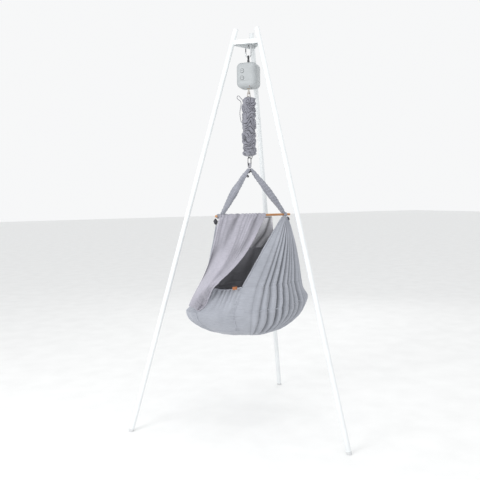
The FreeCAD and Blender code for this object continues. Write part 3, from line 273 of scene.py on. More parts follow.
def moulded(name, colour, rough=0.5, grain=0.12):
    """Moulded plastic with a fine spark-eroded grain."""
    f = Finish(name, colour, rough)
    speck = f.noise(1600, 2)
    f.bump(speck, grain, 0.0002)
    f.tint(f.noise(20, 4), dimmed(colour, 0.93), colour, 0.35, 0.65)
    f.roughen(f.noise(45, 3), rough - 0.05, rough + 0.08)
    return f.material


def metal(name, colour, rough=0.3):
    """Plated or drawn steel with faint lines and a little wear."""
    f = Finish(name, colour, rough, 1.0)
    drawn = f.noise(70, 6, f.place("Object", (1, 1, 18)))
    f.roughen(drawn, rough - 0.08, rough + 0.16)
    f.tint(f.noise(120, 5), dimmed(colour, 0.8), colour, 0.3, 0.7)
    f.bump(drawn, 0.06, 0.0002)
    return f.material


def twisted_cord(name, dark, light):
    """Laid yarn: slanting strands along the cord's own length."""
    f = Finish(name, light, 0.85)
    slant = f.place("UV", (60, 4, 1), (0, 0, 0.5))
    strands = f.bands(3.0, "DIAGONAL", slant)
    fuzz = f.maths("MULTIPLY", f.noise(900, 2), 0.4)
    f.tint(f.maths("ADD", f.maths("MULTIPLY", strands, 0.6), fuzz), dark, light)
    f.bump(strands, 0.6, 0.0005)
    f.shader.inputs["Sheen Weight"].default_value = 0.2
    return f.material


print("helpers ready")

# %% [markdown]
# The finishes of this object: white powder coat on the tubes, plated steel hooks, pale
# matte plastic on the motor, lilac-grey cotton outside, charcoal lining inside, and a
# turned beech bar that has been oiled to a warm tan.

# %% The finishes
white_coat = painted("white_powder_coat", linear(233, 236, 237), 0.3)
white_cap = moulded("white_cap", linear(225, 226, 227), 0.45)
foot_rubber = moulded("foot_rubber", linear(212, 213, 214), 0.8, 0.4)
plated = metal("plated_steel", linear(196, 198, 200), 0.3)
dark_plated = metal("dark_plated_steel", linear(96, 97, 100), 0.4)
brass = metal("bush_brass", linear(205, 172, 104), 0.35)
case_plastic = moulded("case_plastic", linear(176, 180, 182), 0.5)
# Dark grey for the painted shade in the gap round each motor button.
gap_shade_grey = moulded("gap_shade_grey", linear(66, 68, 71), 0.7)
dark_plastic = moulded("dark_plastic", linear(58, 58, 61), 0.55)
ring_plastic = moulded("ring_plastic", linear(236, 236, 236), 0.3)
board_green = moulded("board_green", linear(36, 92, 58), 0.45)
lead_red = moulded("lead_red", linear(150, 40, 36), 0.5)
rod_paint = painted("rod_paint", linear(190, 184, 178), 0.45)
cradle_cloth = cloth("cradle_cloth", linear(144, 147, 155), linear(182, 185, 194))
canopy_cloth = cloth("canopy_cloth", linear(148, 147, 156), linear(190, 187, 198))
# Paler cloth: painted light for the light that shines through the thin back wall.
painted_light_cloth = cloth("painted_light_cloth", linear(205, 204, 210), linear(240, 239, 243), 0.0008, 0.15)
inner_cloth = cloth("inner_cloth", linear(160, 160, 166), linear(198, 198, 204), 0.0008, 0.15)
# Darker tone than the cradle's cloth: painted shade for the sleeve's deep gathers.
cover_cloth = cloth("cover_cloth", linear(112, 113, 122), linear(162, 162, 172), 0.0007, 0.25, 0.6)
strap_cloth = cloth("strap_cloth", linear(122, 124, 132), linear(168, 170, 180), 0.0008)
webbing = cloth("webbing", linear(140, 140, 146), linear(184, 184, 190), 0.0014, 0.15, 0.7)
dark_yarn = twisted_cord("dark_yarn", linear(40, 40, 46), linear(80, 80, 88))
light_yarn = twisted_cord("light_yarn", linear(104, 104, 110), linear(166, 166, 172))

wood = Finish("oiled_beech", linear(196, 146, 100), 0.5)
rings = wood.bands(9.0, "Y", wood.place("Object", (0.6, 14, 14)), 7.0)
pores = wood.noise(160, 5, wood.place("Object", (0.9, 14, 14)))
wood.tint(wood.maths("ADD", wood.maths("MULTIPLY", rings, 0.5), wood.maths("MULTIPLY", pores, 0.5)),
          linear(164, 108, 66), linear(214, 164, 116), 0.25, 0.75)
wood.roughen(pores, 0.42, 0.62)
wood.bump(pores, 0.25, 0.0004)
bar_wood = wood.material

hide = Finish("tag_leather", linear(168, 104, 62), 0.55)
grain = hide.noise(420, 5)
hide.tint(grain, linear(138, 82, 46), linear(190, 122, 76))
hide.bump(grain, 0.5, 0.0006)
tag_leather = hide.material

dress = {
    "leg_left leg_right leg_rear hub_plate": white_coat,
    "leg_top_caps": white_cap,
    "feet": foot_rubber,
    "hub_bolts hub_washers leg_inserts eye_bolt eye_nut top_hook top_hook_pin motor_eye_nut": plated,
    "case_screws gearbox_screws pinion_shaft chassis gear_motor": plated,
    "top_gate motor_eye low_hook low_gate low_hook_pin": dark_plated,
    "motor_cover motor_base button_upper button_lower": case_plastic,
    "lift_rod swivel_eye": rod_paint,
    "spring_top_plug spring_bottom_plug": plated,
    "spring_ring": ring_plastic,
    "drive_pinion lift_rack rack_guide button_switches power_socket": dark_plastic,
    "lift_bush": brass,
    "circuit_board": board_green,
    "motor_leads": lead_red,
    "spreader_bar": bar_wood,
}
for names, finish in dress.items():
    for name in names.split():
        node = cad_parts[name]
        if not node.material_slots:
            node.data.materials.append(finish)
        for holder in node.material_slots:
            holder.material = finish
for cord, yarn in ((drawstring, light_yarn), (safety_line, dark_yarn)):
    cord.data.materials.clear()
    cord.data.materials.append(yarn)
print("dressed", sum(len(n.split()) for n in dress), "CAD pieces")

# %% [markdown]
# Cloth is a flat sheet that gets pushed into shape.  Each panel starts as a plain grid,
# and a small function says where each point of the sheet goes: u runs across it and v
# down it, both from 0 to 1.  The UV map is stretched to real metres, so that the weave
# keeps its size.  A sheet that closes on itself, such as a strap, is a grid whose two
# sides are merged.


# %% Sheet helpers
def clear_selection():
    bpy.ops.object.select_all(action="DESELECT")


def finish_piece(piece, body, slot_name, material, *nodes):
    """Give a piece its look and its place in the assembly; a piece that bends rides on no body."""
    piece.data.materials.clear()
    piece.data.materials.append(material)
    if body:
        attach(piece, body)
    if nodes:
        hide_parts(*nodes)


def apply_all(piece):
    clear_selection()
    bpy.context.view_layer.objects.active = piece
    piece.select_set(True)
    for modifier in list(piece.modifiers):
        bpy.ops.object.modifier_apply(modifier=modifier.name)


def sheet(name, across, down, place, size, closed=False, open_ends=False, crease=None):
    """A grid of cloth; place(u, v) gives each point, size is its width and length in metres.

    A closed sheet has its two sides merged, and its ends filled unless they are left open.
    crease(u, v) says how deep in a fold a point lies, from 0 to 1, for the painted shade in the cloth's
    colour.
    """
    clear_selection()
    bpy.ops.mesh.primitive_grid_add(x_subdivisions=across, y_subdivisions=down, size=2.0)
    piece = bpy.context.object
    piece.name = name
    piece.data.name = name
    for corner in piece.data.uv_layers[0].data:
        corner.uv = (corner.uv[0] * size[0], corner.uv[1] * size[1])
    places = [((vertex.co.x + 1) / 2, (1 - vertex.co.y) / 2) for vertex in piece.data.vertices]
    # The crease attribute carries the painted shade of the folds into the cloth's colour.
    if crease:
        marks = piece.data.attributes.new("crease", "FLOAT", "POINT")
        for mark, (u, v) in zip(marks.data, places):
            mark.value = crease(u, v)
    for vertex, (u, v) in zip(piece.data.vertices, places):
        vertex.co = place(u, v) + LINE
    if closed:
        bpy.ops.object.mode_set(mode="EDIT")
        bpy.ops.mesh.select_all(action="SELECT")
        bpy.ops.mesh.remove_doubles(threshold=0.00005)
        bpy.ops.mesh.select_all(action="DESELECT")
        bpy.ops.mesh.select_mode(type="EDGE")
        if not open_ends:
            bpy.ops.mesh.select_non_manifold()
            bpy.ops.mesh.fill_holes(sides=0)
        bpy.ops.mesh.select_all(action="SELECT")
        bpy.ops.mesh.normals_make_consistent(inside=False)
        bpy.ops.object.mode_set(mode="OBJECT")
    bpy.ops.object.shade_smooth()
    area = sum(p.area for p in piece.data.polygons)
    print("made", name, len(piece.data.polygons), "faces, area %.3f m2" % area)
    return piece


def thicken(piece, thickness, offset=-1.0):
    solid = piece.modifiers.new("thickness", "SOLIDIFY")
    solid.thickness = thickness
    solid.offset = offset
    apply_all(piece)


def ripple(x, y, z, size):
    """Smooth uneven wave between -1 and 1, the same on every run."""
    return noise.noise(Vector((x, y, z)) / size)


def ease(t):
    t = min(1.0, max(0.0, t))
    return t * t * (3 - 2 * t)


def mix(a, b, t):
    return a + (b - a) * t


def bezier(points, t):
    while len(points) > 1:
        points = [mix(a, b, t) for a, b in zip(points, points[1:])]
    return points[0]


# %% [markdown]
# The spring.  A close coil of wire hangs inside the sleeve.  It could be drawn as a
# curve, but the Screw modifier turns one round section straight into a coil, with the
# height of each turn as its only setting.

# %% The coil spring
COIL_TOP = 1.644
COIL_LOW = 1.404
COIL_TURNS = 24
COIL_RADIUS = 0.014
COIL_WIRE = 0.00175
clear_selection()
bpy.ops.mesh.primitive_circle_add(vertices=8, radius=COIL_WIRE, rotation=(math.radians(90), 0, 0),
                                  location=(LINE.x + COIL_RADIUS, LINE.y, COIL_LOW))
coil = bpy.context.object
coil.name = "coil_wire"
bpy.ops.object.transform_apply(location=True, rotation=True, scale=True)
coil.data.transform(Matrix.Translation(-LINE))
winder = coil.modifiers.new("turns", "SCREW")
winder.screw_offset = (COIL_TOP - COIL_LOW) / COIL_TURNS
winder.iterations = COIL_TURNS
winder.steps = 20
winder.render_steps = 20
apply_all(coil)
coil.data.transform(Matrix.Translation(LINE))
bpy.ops.object.mode_set(mode="EDIT")
bpy.ops.mesh.select_all(action="DESELECT")
bpy.ops.mesh.select_mode(type="EDGE")
bpy.ops.mesh.select_non_manifold()
bpy.ops.mesh.fill_holes(sides=0)
bpy.ops.mesh.select_all(action="SELECT")
bpy.ops.mesh.normals_make_consistent(inside=False)
bpy.ops.object.mode_set(mode="OBJECT")
bpy.ops.object.shade_smooth()
finish_piece(coil, None, "spring_steel", dark_plated, "spring_coil")
print("coil of", COIL_TURNS, "turns,", len(coil.data.polygons), "faces")

# %% [markdown]
# The sleeve round the spring is a tube of cotton about half as long again as the space
# it fills, so it gathers into uneven rings.  Rings of one size would look like a hose,
# so their spacing drifts and each one is fuller on one side than on the other.

# %% The gathered sleeve
SLEEVE_TOP = 1.669
SLEEVE_LOW = 1.372
GATHERS = 15


def sleeve_gather(side, v):
    """The rings of gathered cloth: 0 in a crease, 1 on the crown of a fold."""
    a = math.atan2(side.y, side.x)
    slip = GATHERS * v + 2.8 * ripple(side.x * 1.1, side.y * 1.1, v * 4, 1.0) + 0.45 * math.sin(a + v * 11)
    slip += 0.30 * math.sin(2 * a - v * 17)
    shallow = max(0.0, ripple(side.x * 1.4, side.y * 1.4 + 3, v * 6, 0.9))
    return mix(abs(math.sin(math.pi * slip)) ** 0.55, 0.9, min(1.0, 1.5 * shallow))


def sleeve_place(u, v):
    a = 2 * math.pi * u
    side = Vector((math.cos(a), math.sin(a), 0.0))
    puff = sleeve_gather(side, v)
    broad = abs(math.sin(math.pi * (7 * v + 1.5 * ripple(side.x + 5, side.y, v * 4, 0.9)))) ** 0.5
    full = 0.35 + 1.5 * abs(ripple(side.x * 1.1 + 4, side.y * 1.1, v * 7, 0.8))
    swell = 0.0050 * max(0.0, ripple(side.x * 0.8, side.y * 0.8 + 9, v * 5, 1.0))
    neck = min(1.0, (v / 0.035) ** 0.7, ((1 - v) / 0.03) ** 0.7)
    radius = mix(0.0135, 0.0212 + 0.0135 * puff * full + 0.0035 * broad + swell, neck)
    height = mix(SLEEVE_TOP, SLEEVE_LOW, v) + 0.0070 * ripple(side.x, side.y, v * 9 + 3, 0.8) * neck
    return side * min(max(radius, 0.0135), 0.0385) + Vector((0, 0, height))


# Painted shade: the sleeve's cloth is painted darker in the creases between its rings.
def sleeve_crease_shade(u, v):
    a = 2 * math.pi * u
    return max(0.0, 1.0 - 1.25 * sleeve_gather(Vector((math.cos(a), math.sin(a), 0.0)), v))


sleeve = sheet("spring_sleeve", 84, 330, sleeve_place, (0.17, 0.45), closed=True, open_ends=True,
               crease=sleeve_crease_shade)
thicken(sleeve, 0.0010)
finish_piece(sleeve, None, "cover_cloth", cover_cloth, "spring_cover")
for piece in (sleeve, coil):
    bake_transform(piece)

# %% [markdown]
# The two padded bands that carry the cradle.  Each is a tube of cotton with a strip of
# wadding in it: thin where it is sewn into the loop, full in the middle, and pinched
# again where it is knotted over the bar.  A seam runs down the middle of its face.

# %% Straps and their loop
STRAP_TOP_Z = 1.3075
LOOP_Z = 1.3249


def strap_place(bar_x, phase):
    start = Vector((math.copysign(0.006, bar_x), 0, STRAP_TOP_Z))
    end = Vector((bar_x, 0, 1.0795))
    along = (end - start).normalized()
    face = along.cross(Vector((0, 1, 0))) * math.copysign(1, bar_x)

    def place(u, v):
        a = 2 * math.pi * u
        middle = mix(start, end, v) + face * 0.0035 * 4 * v * (1 - v)
        full = 0.42 + 0.58 * math.sin(math.pi * min(1.0, 0.10 + 0.82 * v))
        half_width = 0.0195 * full * (1 + 0.10 * ripple(v * 5, phase, 0, 1.0))
        half_depth = 0.0052 + 0.0105 * math.sin(math.pi * min(1.0, 0.04 + 0.86 * v)) ** 1.2
        wide = math.cos(a)
        deep = math.copysign(abs(math.sin(a)) ** 0.8, math.sin(a))
        seam = 0.0030 * math.exp(-(wide / 0.10) ** 2)
        pucker = 0.0009 * math.sin(v * 95 + phase + 3 * wide) * (0.4 + abs(wide)) * ease(v / 0.1)
        pucker += 0.0030 * ripple(v * 7, wide * 1.6, deep + phase, 1.0)
        pucker += 0.0018 * math.sin(9 * wide + 7 * v + phase) * math.sin(math.pi * v)
        out = deep * (half_depth - seam + pucker)
        return middle + Vector((0, 1, 0)) * wide * (half_width + pucker) + face * out

    return place


bands = (("strap_to_head", "head_strap", -0.160, 0.4), ("strap_to_foot", "foot_strap", 0.203, 2.1))
for name, node, bar_x, phase in bands:
    strap = sheet(name, 40, 110, strap_place(bar_x, phase), (0.075, 0.30), closed=True)
    finish_piece(strap, "cradle", "strap_cloth", strap_cloth, node)


def loop_place(u, v):
    a = 2 * math.pi * u
    b = 2 * math.pi * v
    centre = Vector((0, 0, LOOP_Z))
    ring = Vector((0, math.sin(a), math.cos(a)))
    fat = 0.0046 + 0.0006 * math.sin(a * 9) + 0.0006 * ripple(math.cos(a), math.sin(a), b, 0.7)
    return centre + ring * (0.009 + fat * math.cos(b)) + Vector((1, 0, 0)) * fat * 1.25 * math.sin(b)


hanging_loop = sheet("hanging_loop", 64, 24, loop_place, (0.057, 0.030), closed=True)
finish_piece(hanging_loop, "cradle", "webbing", webbing, "strap_loop")

# %% [markdown]
# Knots.  A tied knot reads as a few turns of cord pulled tight over each other, so each
# one is a handful of small rings, tilted by different amounts, round a core.  One ring
# is modelled as a torus primitive and the rest are copies with their own mesh.


# %% Knots
def knot(name, turns, body, slot_name, material, *nodes):
    """turns: centre, ring radius, cord radius and tilt of each turn of cord."""
    made = []
    for centre, ring_radius, cord_radius, tilt in turns:
        clear_selection()
        bpy.ops.mesh.primitive_torus_add(major_radius=ring_radius, minor_radius=cord_radius,
                                         major_segments=32, minor_segments=12,
                                         location=Vector(centre) + LINE, rotation=tilt)
        ring = bpy.context.object
        bpy.ops.object.transform_apply(location=True, rotation=True, scale=True)
        made.append(ring)
    clear_selection()
    for ring in made:
        ring.select_set(True)
    bpy.context.view_layer.objects.active = made[0]
    bpy.ops.object.join()
    tied = bpy.context.object
    tied.name = name
    for vertex in tied.data.vertices:
        x, y, z = vertex.co
        uneven = Vector((ripple(x, y, z, 0.006), ripple(y, z, x, 0.006), ripple(z, x, y, 0.006)))
        vertex.co = vertex.co + 0.0012 * uneven
    bpy.ops.object.shade_smooth()
    finish_piece(tied, body, slot_name, material, *nodes)
    print("tied", name, "of", len(turns), "turns")
    return tied


strap_turns = [
    ((-0.0060, 0, 1.3010), 0.0052, 0.0026, (0.3, 1.2, 0)),
    ((-0.0075, 0, 1.2960), 0.0058, 0.0026, (0.2, 0.5, 0)),
    ((-0.0060, 0, 1.2905), 0.0050, 0.0024, (-0.3, 0.3, 0)),
    ((-0.0115, 0, 1.2740), 0.0060, 0.0024, (0.1, 0.6, 0)),
    ((-0.0125, 0, 1.2700), 0.0058, 0.0022, (-0.2, 0.7, 0)),
    ((0.0060, 0, 1.2960), 0.0050, 0.0022, (0.2, -0.5, 0)),
]
knot("strap_ties", strap_turns, "cradle", "dark_cord", dark_yarn, "strap_knots")

bar_turns = []
lashings = []
for x in (-0.197, 0.229):
    bar_turns += [
        ((x, 0, 1.0450), 0.0068, 0.0046, (0.2, 0.1, 0)),
        ((x, 0, 1.0400), 0.0064, 0.0044, (1.3, 0.3, 0.4)),
        ((x + 0.001, 0, 1.0510), 0.0056, 0.0038, (0.9, 0.9, 0.2)),
        ((x, 0, 1.0470), 0.0060, 0.0042, (0.2, 1.4, 0.9)),
    ]
    inward = -math.copysign(1.0, x)
    lashings += [
        ((x + inward * 0.012, 0, 1.0710), 0.0084, 0.0034, (0.10, 1.5208, 0)),
        ((x + inward * 0.018, 0, 1.0712), 0.0086, 0.0036, (0.22, 1.4500, 0)),
        ((x + inward * 0.025, 0, 1.0708), 0.0084, 0.0034, (-0.12, 1.6500, 0)),
    ]
knot("bar_lashings", lashings, "cradle", "strap_cloth", strap_cloth)
knot("bar_ties", bar_turns, "cradle", "dark_cord", dark_yarn, "bar_knots")

# %% [markdown]
# The cradle itself is sewn from panels that meet at seams: a boat-shaped tub, a pouch
# across its open front, a fan of cloth at each end that is drawn up to a knot on the
# bar, and a back wall that hangs from the bar.  Modelling them as one lump would lose
# the seams and the folds, so each panel is its own sheet, and all of them read the same
# outline, which keeps their edges together.  Angles go round the cradle from its foot
# end; the back is at 90 degrees and the open front about 225.

# %% The cradle's outline
SHOULDER_Z = 0.725
RIM_Z = 0.624
BOTTOM_Z = 0.4555
BOTTOM = Vector((-0.015, 0, BOTTOM_Z))
FRONT_FROM, FRONT_TO = 202.5, 242.5
BACK_FROM, BACK_TO = 45.0, 157.5


def oval(mid_x, half_x, half_y, bend, degrees):
    a = math.radians(degrees)
    s = math.sin(a)
    return Vector((mid_x + half_x * math.cos(a), half_y * math.copysign(abs(s) ** bend, s), 0))


def front_share(degrees):
    """0 outside the open front, 1 in the middle of it."""
    t = (degrees - FRONT_FROM) / (FRONT_TO - FRONT_FROM)
    return math.sin(math.pi * t) if 0 < t < 1 else 0.0


def shoulder(degrees):
    p = oval(0.012, 0.280, 0.145, 1.25, degrees)
    p.z = SHOULDER_Z - 0.012 * front_share(degrees % 360)
    return p


def rim(degrees):
    p = oval(-0.0135, 0.3465, 0.160, 1.2, degrees)
    a = math.radians(degrees)
    p.z = RIM_Z + 0.012 * math.cos(a) - 0.020 * math.sin(a) ** 2
    return p


def folds(degrees, depth):
    """The folds at a place on the tub: how far they push the cloth out, and how deep the crease is, which sets
    its painted shade.

    depth runs from 0 at the shoulder to 1 at the bottom.
    """
    foot = ease((degrees - 252) / 22) * ease((412 - degrees) / 14)
    near_head = ease((degrees - 150) / 12) * ease((206 - degrees) / 6)
    back = ease((degrees - 50) / 12) * ease((156 - degrees) / 12)
    front = front_share(degrees) ** 0.5
    bend = degrees + 3.2 * ripple(degrees * 0.07, depth * 1.2, 0, 1.0)
    crown = abs(math.sin(math.radians(bend * 23))) ** 0.6
    uneven = 1 - 0.35 * math.sin(math.radians(bend * 11))
    narrowing = min(1.0, 1.7 * math.cos(math.radians(90 * max(0.0, (depth - 0.34) / 0.66))))
    fold = foot * 0.0120 * (2 * crown - 1.1) * uneven
    fold += near_head * 0.0026 * math.sin(math.radians(bend * 32))
    fold += back * 0.0050 * math.sin(math.radians(bend * 15 + 40))
    puckers = math.sin(math.radians(bend * 64))
    top_share = max(0.0, 1 - depth * 3.0) ** 1.3
    gather = front * 0.0050 * puckers * top_share
    gather += front * 0.0042 * math.sin(math.radians(bend * 26 + 30)) * max(0.0, 1 - depth * 1.7)
    # The crease share is painted shade in the cloth's colour.
    crease = foot * narrowing * max(0.0, 1 - 1.1 * crown) ** 0.85 * min(1.0, uneven)
    crease += 0.55 * front * max(0.0, -puckers) ** 1.5 * top_share
    crease += 0.25 * back * max(0.0, -math.sin(math.radians(bend * 15 + 40))) * narrowing
    return fold * narrowing + gather, crease


def p_sign(x):
    return 1.0 if x > 0 else -1.0


def tub_skin(degrees, depth):
    """The outside of the tub; depth 0 at the shoulder, 0.34 at the rim, 1 at the bottom."""
    degrees = degrees % 360
    edge = 0.34
    folded = degrees if degrees > 45 else degrees + 360
    if depth < edge:
        t = depth / edge
        top, low = shoulder(degrees), rim(degrees)
        tip = abs(math.cos(math.radians(degrees))) ** 3
        hollow = mix(0.004, -0.010, tip) * math.sin(math.pi * t)
        aside = math.copysign(abs(hollow) * (1 - tip), low.y)
        p = mix(top, low, t) + Vector((p_sign(low.x) * hollow, aside, 0))
    else:
        t = (depth - edge) / (1 - edge)
        a = math.radians(90 * t)
        low = rim(degrees)
        narrow = math.cos(a) ** mix(1.0, 1.22, abs(math.cos(math.radians(degrees))) ** 3)
        p = Vector((BOTTOM.x + (low.x - BOTTOM.x) * narrow, low.y * math.cos(a),
                    low.z - (low.z - BOTTOM_Z) * math.sin(a)))
    out = Vector((p.x - BOTTOM.x, p.y * 1.6, (p.z - 0.70) * 0.8))
    if out.length > 1e-6:
        out.normalize()
    crumple = 0.0030 * ripple(p.x, p.y, p.z, 0.050) + 0.0012 * ripple(p.x, p.y, p.z, 0.016)
    seam = -0.0022 * math.exp(-((depth - edge) / 0.012) ** 2)
    beside = math.exp(-((degrees - FRONT_TO) / 3.5) ** 2)
    beside += 0.6 * math.exp(-((degrees - FRONT_FROM) / 3.0) ** 2)
    waver = math.sin(depth * 95 + 3 * math.sin(depth * 30))
    seam += 0.0030 * beside * waver * ease(depth / 0.04) * ease((0.7 - depth) / 0.1)
    push = folds(folded, depth)[0] + (crumple + seam) * ease(depth / 0.05) * ease((1 - depth) / 0.05 + 0.2)
    return p + out * push


# Painted shade: how dark the tub's cloth is painted at each crease.
def tub_crease_shade(degrees, depth):
    degrees = degrees % 360
    return folds(degrees if degrees > 45 else degrees + 360, depth)[1]


print("shoulder from", tuple(shoulder(180)), "to", tuple(shoulder(0)))

# %% [markdown]
# The tub and the pouch.  The pouch is the part of the front under the gathered hem; the
# tub is the rest of the shell.  Each is thickened inwards after it has been shaped, so
# that the outside keeps its line.

# %% Tub and pouch
POUCH_DEPTH = 0.64


def tub_at(u, v):
    return FRONT_TO + (360 - FRONT_TO + FRONT_FROM) * u, v


def front_low_at(u, v):
    return mix(FRONT_FROM, FRONT_TO, u), mix(POUCH_DEPTH, 1.0, v)


def pouch_at(u, v):
    return mix(FRONT_FROM, FRONT_TO, u), mix(0.0, POUCH_DEPTH, v)


def shell(name, across, down, at, size):
    """A panel of the tub: at(u, v) gives its angle and depth."""
    return sheet(name, across, down, lambda u, v: tub_skin(*at(u, v)), size,
                 crease=lambda u, v: tub_crease_shade(*at(u, v)))


tub = shell("tub_shell", 440, 90, tub_at, (1.60, 0.42))
front_low = shell("tub_front_low", 56, 30, front_low_at, (0.30, 0.15))
pouch = shell("pouch_front", 96, 54, pouch_at, (0.34, 0.27))
for piece in (tub, front_low, pouch):
    thicken(piece, 0.0035)
finish_piece(tub, "cradle", "cradle_cloth", cradle_cloth, "tub_panel")
finish_piece(front_low, "cradle", "cradle_cloth", cradle_cloth)
finish_piece(pouch, "cradle", "cradle_cloth", cradle_cloth, "pouch_panel")

# %% [markdown]
# The pouch's gathered hem is a rolled edge, and the seams where the panels join stand
# up a little as a welt.  A bead that follows the edge is simplest as a small tube swept
# along the same outline that the cloth uses.


# %% Hems and welts
def welt(name, points, radius, length_uv, material=None):
    """A rolled edge along a line of points, flattened and slightly uneven."""
    line = [Vector(p) for p in points]

    def place(u, v):
        at = v * (len(line) - 1)
        k = min(int(at), len(line) - 2)
        p = mix(line[k], line[k + 1], at - k)
        ahead = (line[min(k + 2, len(line) - 1)] - line[max(k - 1, 0)]).normalized()
        across = ahead.cross(Vector((0, 0, 1)))
        if across.length < 0.2:
            across = ahead.cross(Vector((0, 1, 0)))
        across.normalize()
        other = ahead.cross(across)
        a = 2 * math.pi * u
        r = radius * (1 + 0.18 * math.sin(v * length_uv * 900) + 0.25 * ripple(p.x, p.y, p.z, 0.02))
        end = min(1.0, (v / 0.01) ** 0.5, ((1 - v) / 0.01) ** 0.5)
        return p + (across * math.cos(a) + other * math.sin(a)) * r * max(0.05, end)

    steps = max(24, int(length_uv * 500))
    bead = sheet(name, 10, steps, place, (2 * math.pi * radius, length_uv), closed=True)
    finish_piece(bead, "cradle", "cradle_cloth", material or cradle_cloth)
    return bead


hem_line = [tub_skin(mix(FRONT_FROM, FRONT_TO, k / 40), 0.004) for k in range(41)]
welt("pouch_hem", hem_line, 0.0032, 0.17)
side_seam = [tub_skin(FRONT_FROM, mix(0.02, POUCH_DEPTH, k / 30)) for k in range(31)]
other_seam = [tub_skin(FRONT_TO, mix(0.02, POUCH_DEPTH, k / 30)) for k in range(31)]
low_seam = [tub_skin(mix(FRONT_FROM, FRONT_TO, k / 30), POUCH_DEPTH) for k in range(31)]
for name, line in (("seam_head_side", side_seam), ("seam_foot_side", other_seam), ("seam_low", low_seam)):
    welt(name, line, 0.0024, 0.25)
rim_line = [tub_skin(angle, 0.34) for angle in range(250, 250 + 313, 3)]
welt("rim_seam", rim_line, 0.0024, 1.4)

# %% [markdown]
# Each end is a fan: the cloth is bunched in the knot and spreads down to the shoulder,
# so its folds start tight and deepen as they spread.  The fold at the shoulder is the
# same one that the tub has there.

# %% The fans at both ends
FOOT_KNOT = Vector((0.226, -0.002, 1.0600))
HEAD_KNOT = Vector((-0.192, 0, 1.0560))
BAND_TOP = Vector((0.192, -0.010, 1.0640))


def fan_point(knot_at, degrees, s, bulge, top=None):
    start = knot_at if top is None else top
    low = shoulder(degrees)
    way = low - start
    first = 0.004 / way.length
    t = mix(first, 1.0, s)
    p = start + way * t
    out = Vector((p.x - knot_at.x * (1 - t), p.y * 1.3, 0.02))
    if out.length < 1e-5:
        return p
    out.normalize()
    folded = degrees % 360
    folded = folded if folded > 45 else folded + 360
    squeezed = folds(folded, 0.0)[0] * (0.10 + 0.90 * t ** 0.7)
    crease = 0.0035 * ripple(p.x, p.y, p.z * 0.5, 0.04) * math.sin(math.pi * t)
    return p + out * (squeezed + bulge * math.sin(math.pi * t) + crease * (1 - t))


def foot_fan_place(u, v):
    degrees = mix(FRONT_TO, 360 + BACK_FROM, u)
    top = mix(BAND_TOP, FOOT_KNOT, ease(u / 0.22))
    return fan_point(FOOT_KNOT, degrees, v, 0.010, top)


def head_fan_place(u, v):
    return fan_point(HEAD_KNOT, mix(BACK_TO, FRONT_FROM, u), v, -0.006)


# Painted shade: the foot fan's cloth is painted darker in its creases.
def foot_fan_crease_shade(u, v):
    return tub_crease_shade(mix(FRONT_TO, 360 + BACK_FROM, u), 0.0)


foot_fan = sheet("foot_fan", 300, 110, foot_fan_place, (0.52, 0.34), crease=foot_fan_crease_shade)
head_fan = sheet("head_fan", 90, 100, head_fan_place, (0.22, 0.34))
for piece, node in ((foot_fan, "foot_panel"), (head_fan, "head_panel")):
    thicken(piece, 0.0028)
    finish_piece(piece, "cradle", "cradle_cloth", cradle_cloth, node)

band_line = [foot_fan_place(0.0, k / 50) for k in range(51)]
welt("fan_front_band", band_line, 0.0038, 0.46)

# %% [markdown]
# The back wall hangs from the bar in long folds that start at the ties and swing
# towards the head end.  Its inside is lined with the same charcoal cloth as the tub, up
# to a little above the baby's head.  Over that, light comes through the thin cloth, which
# a solid panel can't show, so a paler facing stands for it.

# %% The back wall and the lining
BACK_TOP_RIGHT = Vector((0.130, 0.005, 1.0630))
BACK_TOP_LEFT = Vector((-0.168, 0.005, 1.0630))


def back_skin(u, v, deeper=0.0):
    """The back wall from the bar (v 0) to the shoulder (v 1), u from foot end to head end."""
    degrees = mix(BACK_FROM, BACK_TO, u)
    low = tub_skin(degrees, 0.0)
    top = mix(BACK_TOP_RIGHT, BACK_TOP_LEFT, u)
    p = mix(top, low, v) + Vector((0, 0.010 * math.sin(math.pi * v), 0))
    drape = 0.0065 * math.sin(21 * u - 4.5 * v + 0.8 * math.sin(5 * v))
    drape += 0.0032 * math.sin(47 * u - 7 * v) * (1 - v)
    drape += 0.0030 * ripple(p.x, p.y, p.z * 0.4, 0.05)
    hold = min(1.0, v * 9) * min(1.0, (1 - v) * 9)
    return p + Vector((0, drape * hold - deeper, 0))


def back_place(u, v):
    return back_skin(u, v)


def back_lining_place(u, v):
    return back_skin(mix(0.01, 0.99, u), mix(0.46, 1.07, v), 0.0075)


def facing_wave(u, v):
    return math.sin(34 * u - 7.5 * v + 1.2 * math.sin(4 * v))


def facing_place(u, v):
    """Unlined cloth inside the top of the wall, in slanting folds, painted paler for the light that comes
    through it.
    """
    p = back_skin(mix(0.004, 0.99, u), mix(0.02, 0.49, v), 0.0110)
    return p + Vector((0, 0.0045 * facing_wave(u, v) * ease(v / 0.15), 0))


# Painted shade: the facing is painted darker in the hollows of its folds.
def facing_crease_shade(u, v):
    return 0.8 * max(0.0, facing_wave(u, v)) ** 1.5


def lining_place(u, v):
    """One layer in from the cloth, all round, from under the shoulder to the bottom."""
    degrees = 360 * u + FRONT_TO
    p = tub_skin(degrees, mix(0.03, 1.0, v))
    inward = Vector((BOTTOM.x - p.x, -p.y * 1.6, (0.70 - p.z) * 0.8)).normalized()
    return p + inward * 0.0085


back_wall = sheet("back_wall", 150, 110, back_place, (0.62, 0.40))
thicken(back_wall, 0.0028)
finish_piece(back_wall, "cradle", "cradle_cloth", cradle_cloth, "back_panel")
lining = sheet("tub_lining", 240, 70, lining_place, (1.7, 0.40))
back_lining = sheet("back_lining", 120, 60, back_lining_place, (0.60, 0.20))
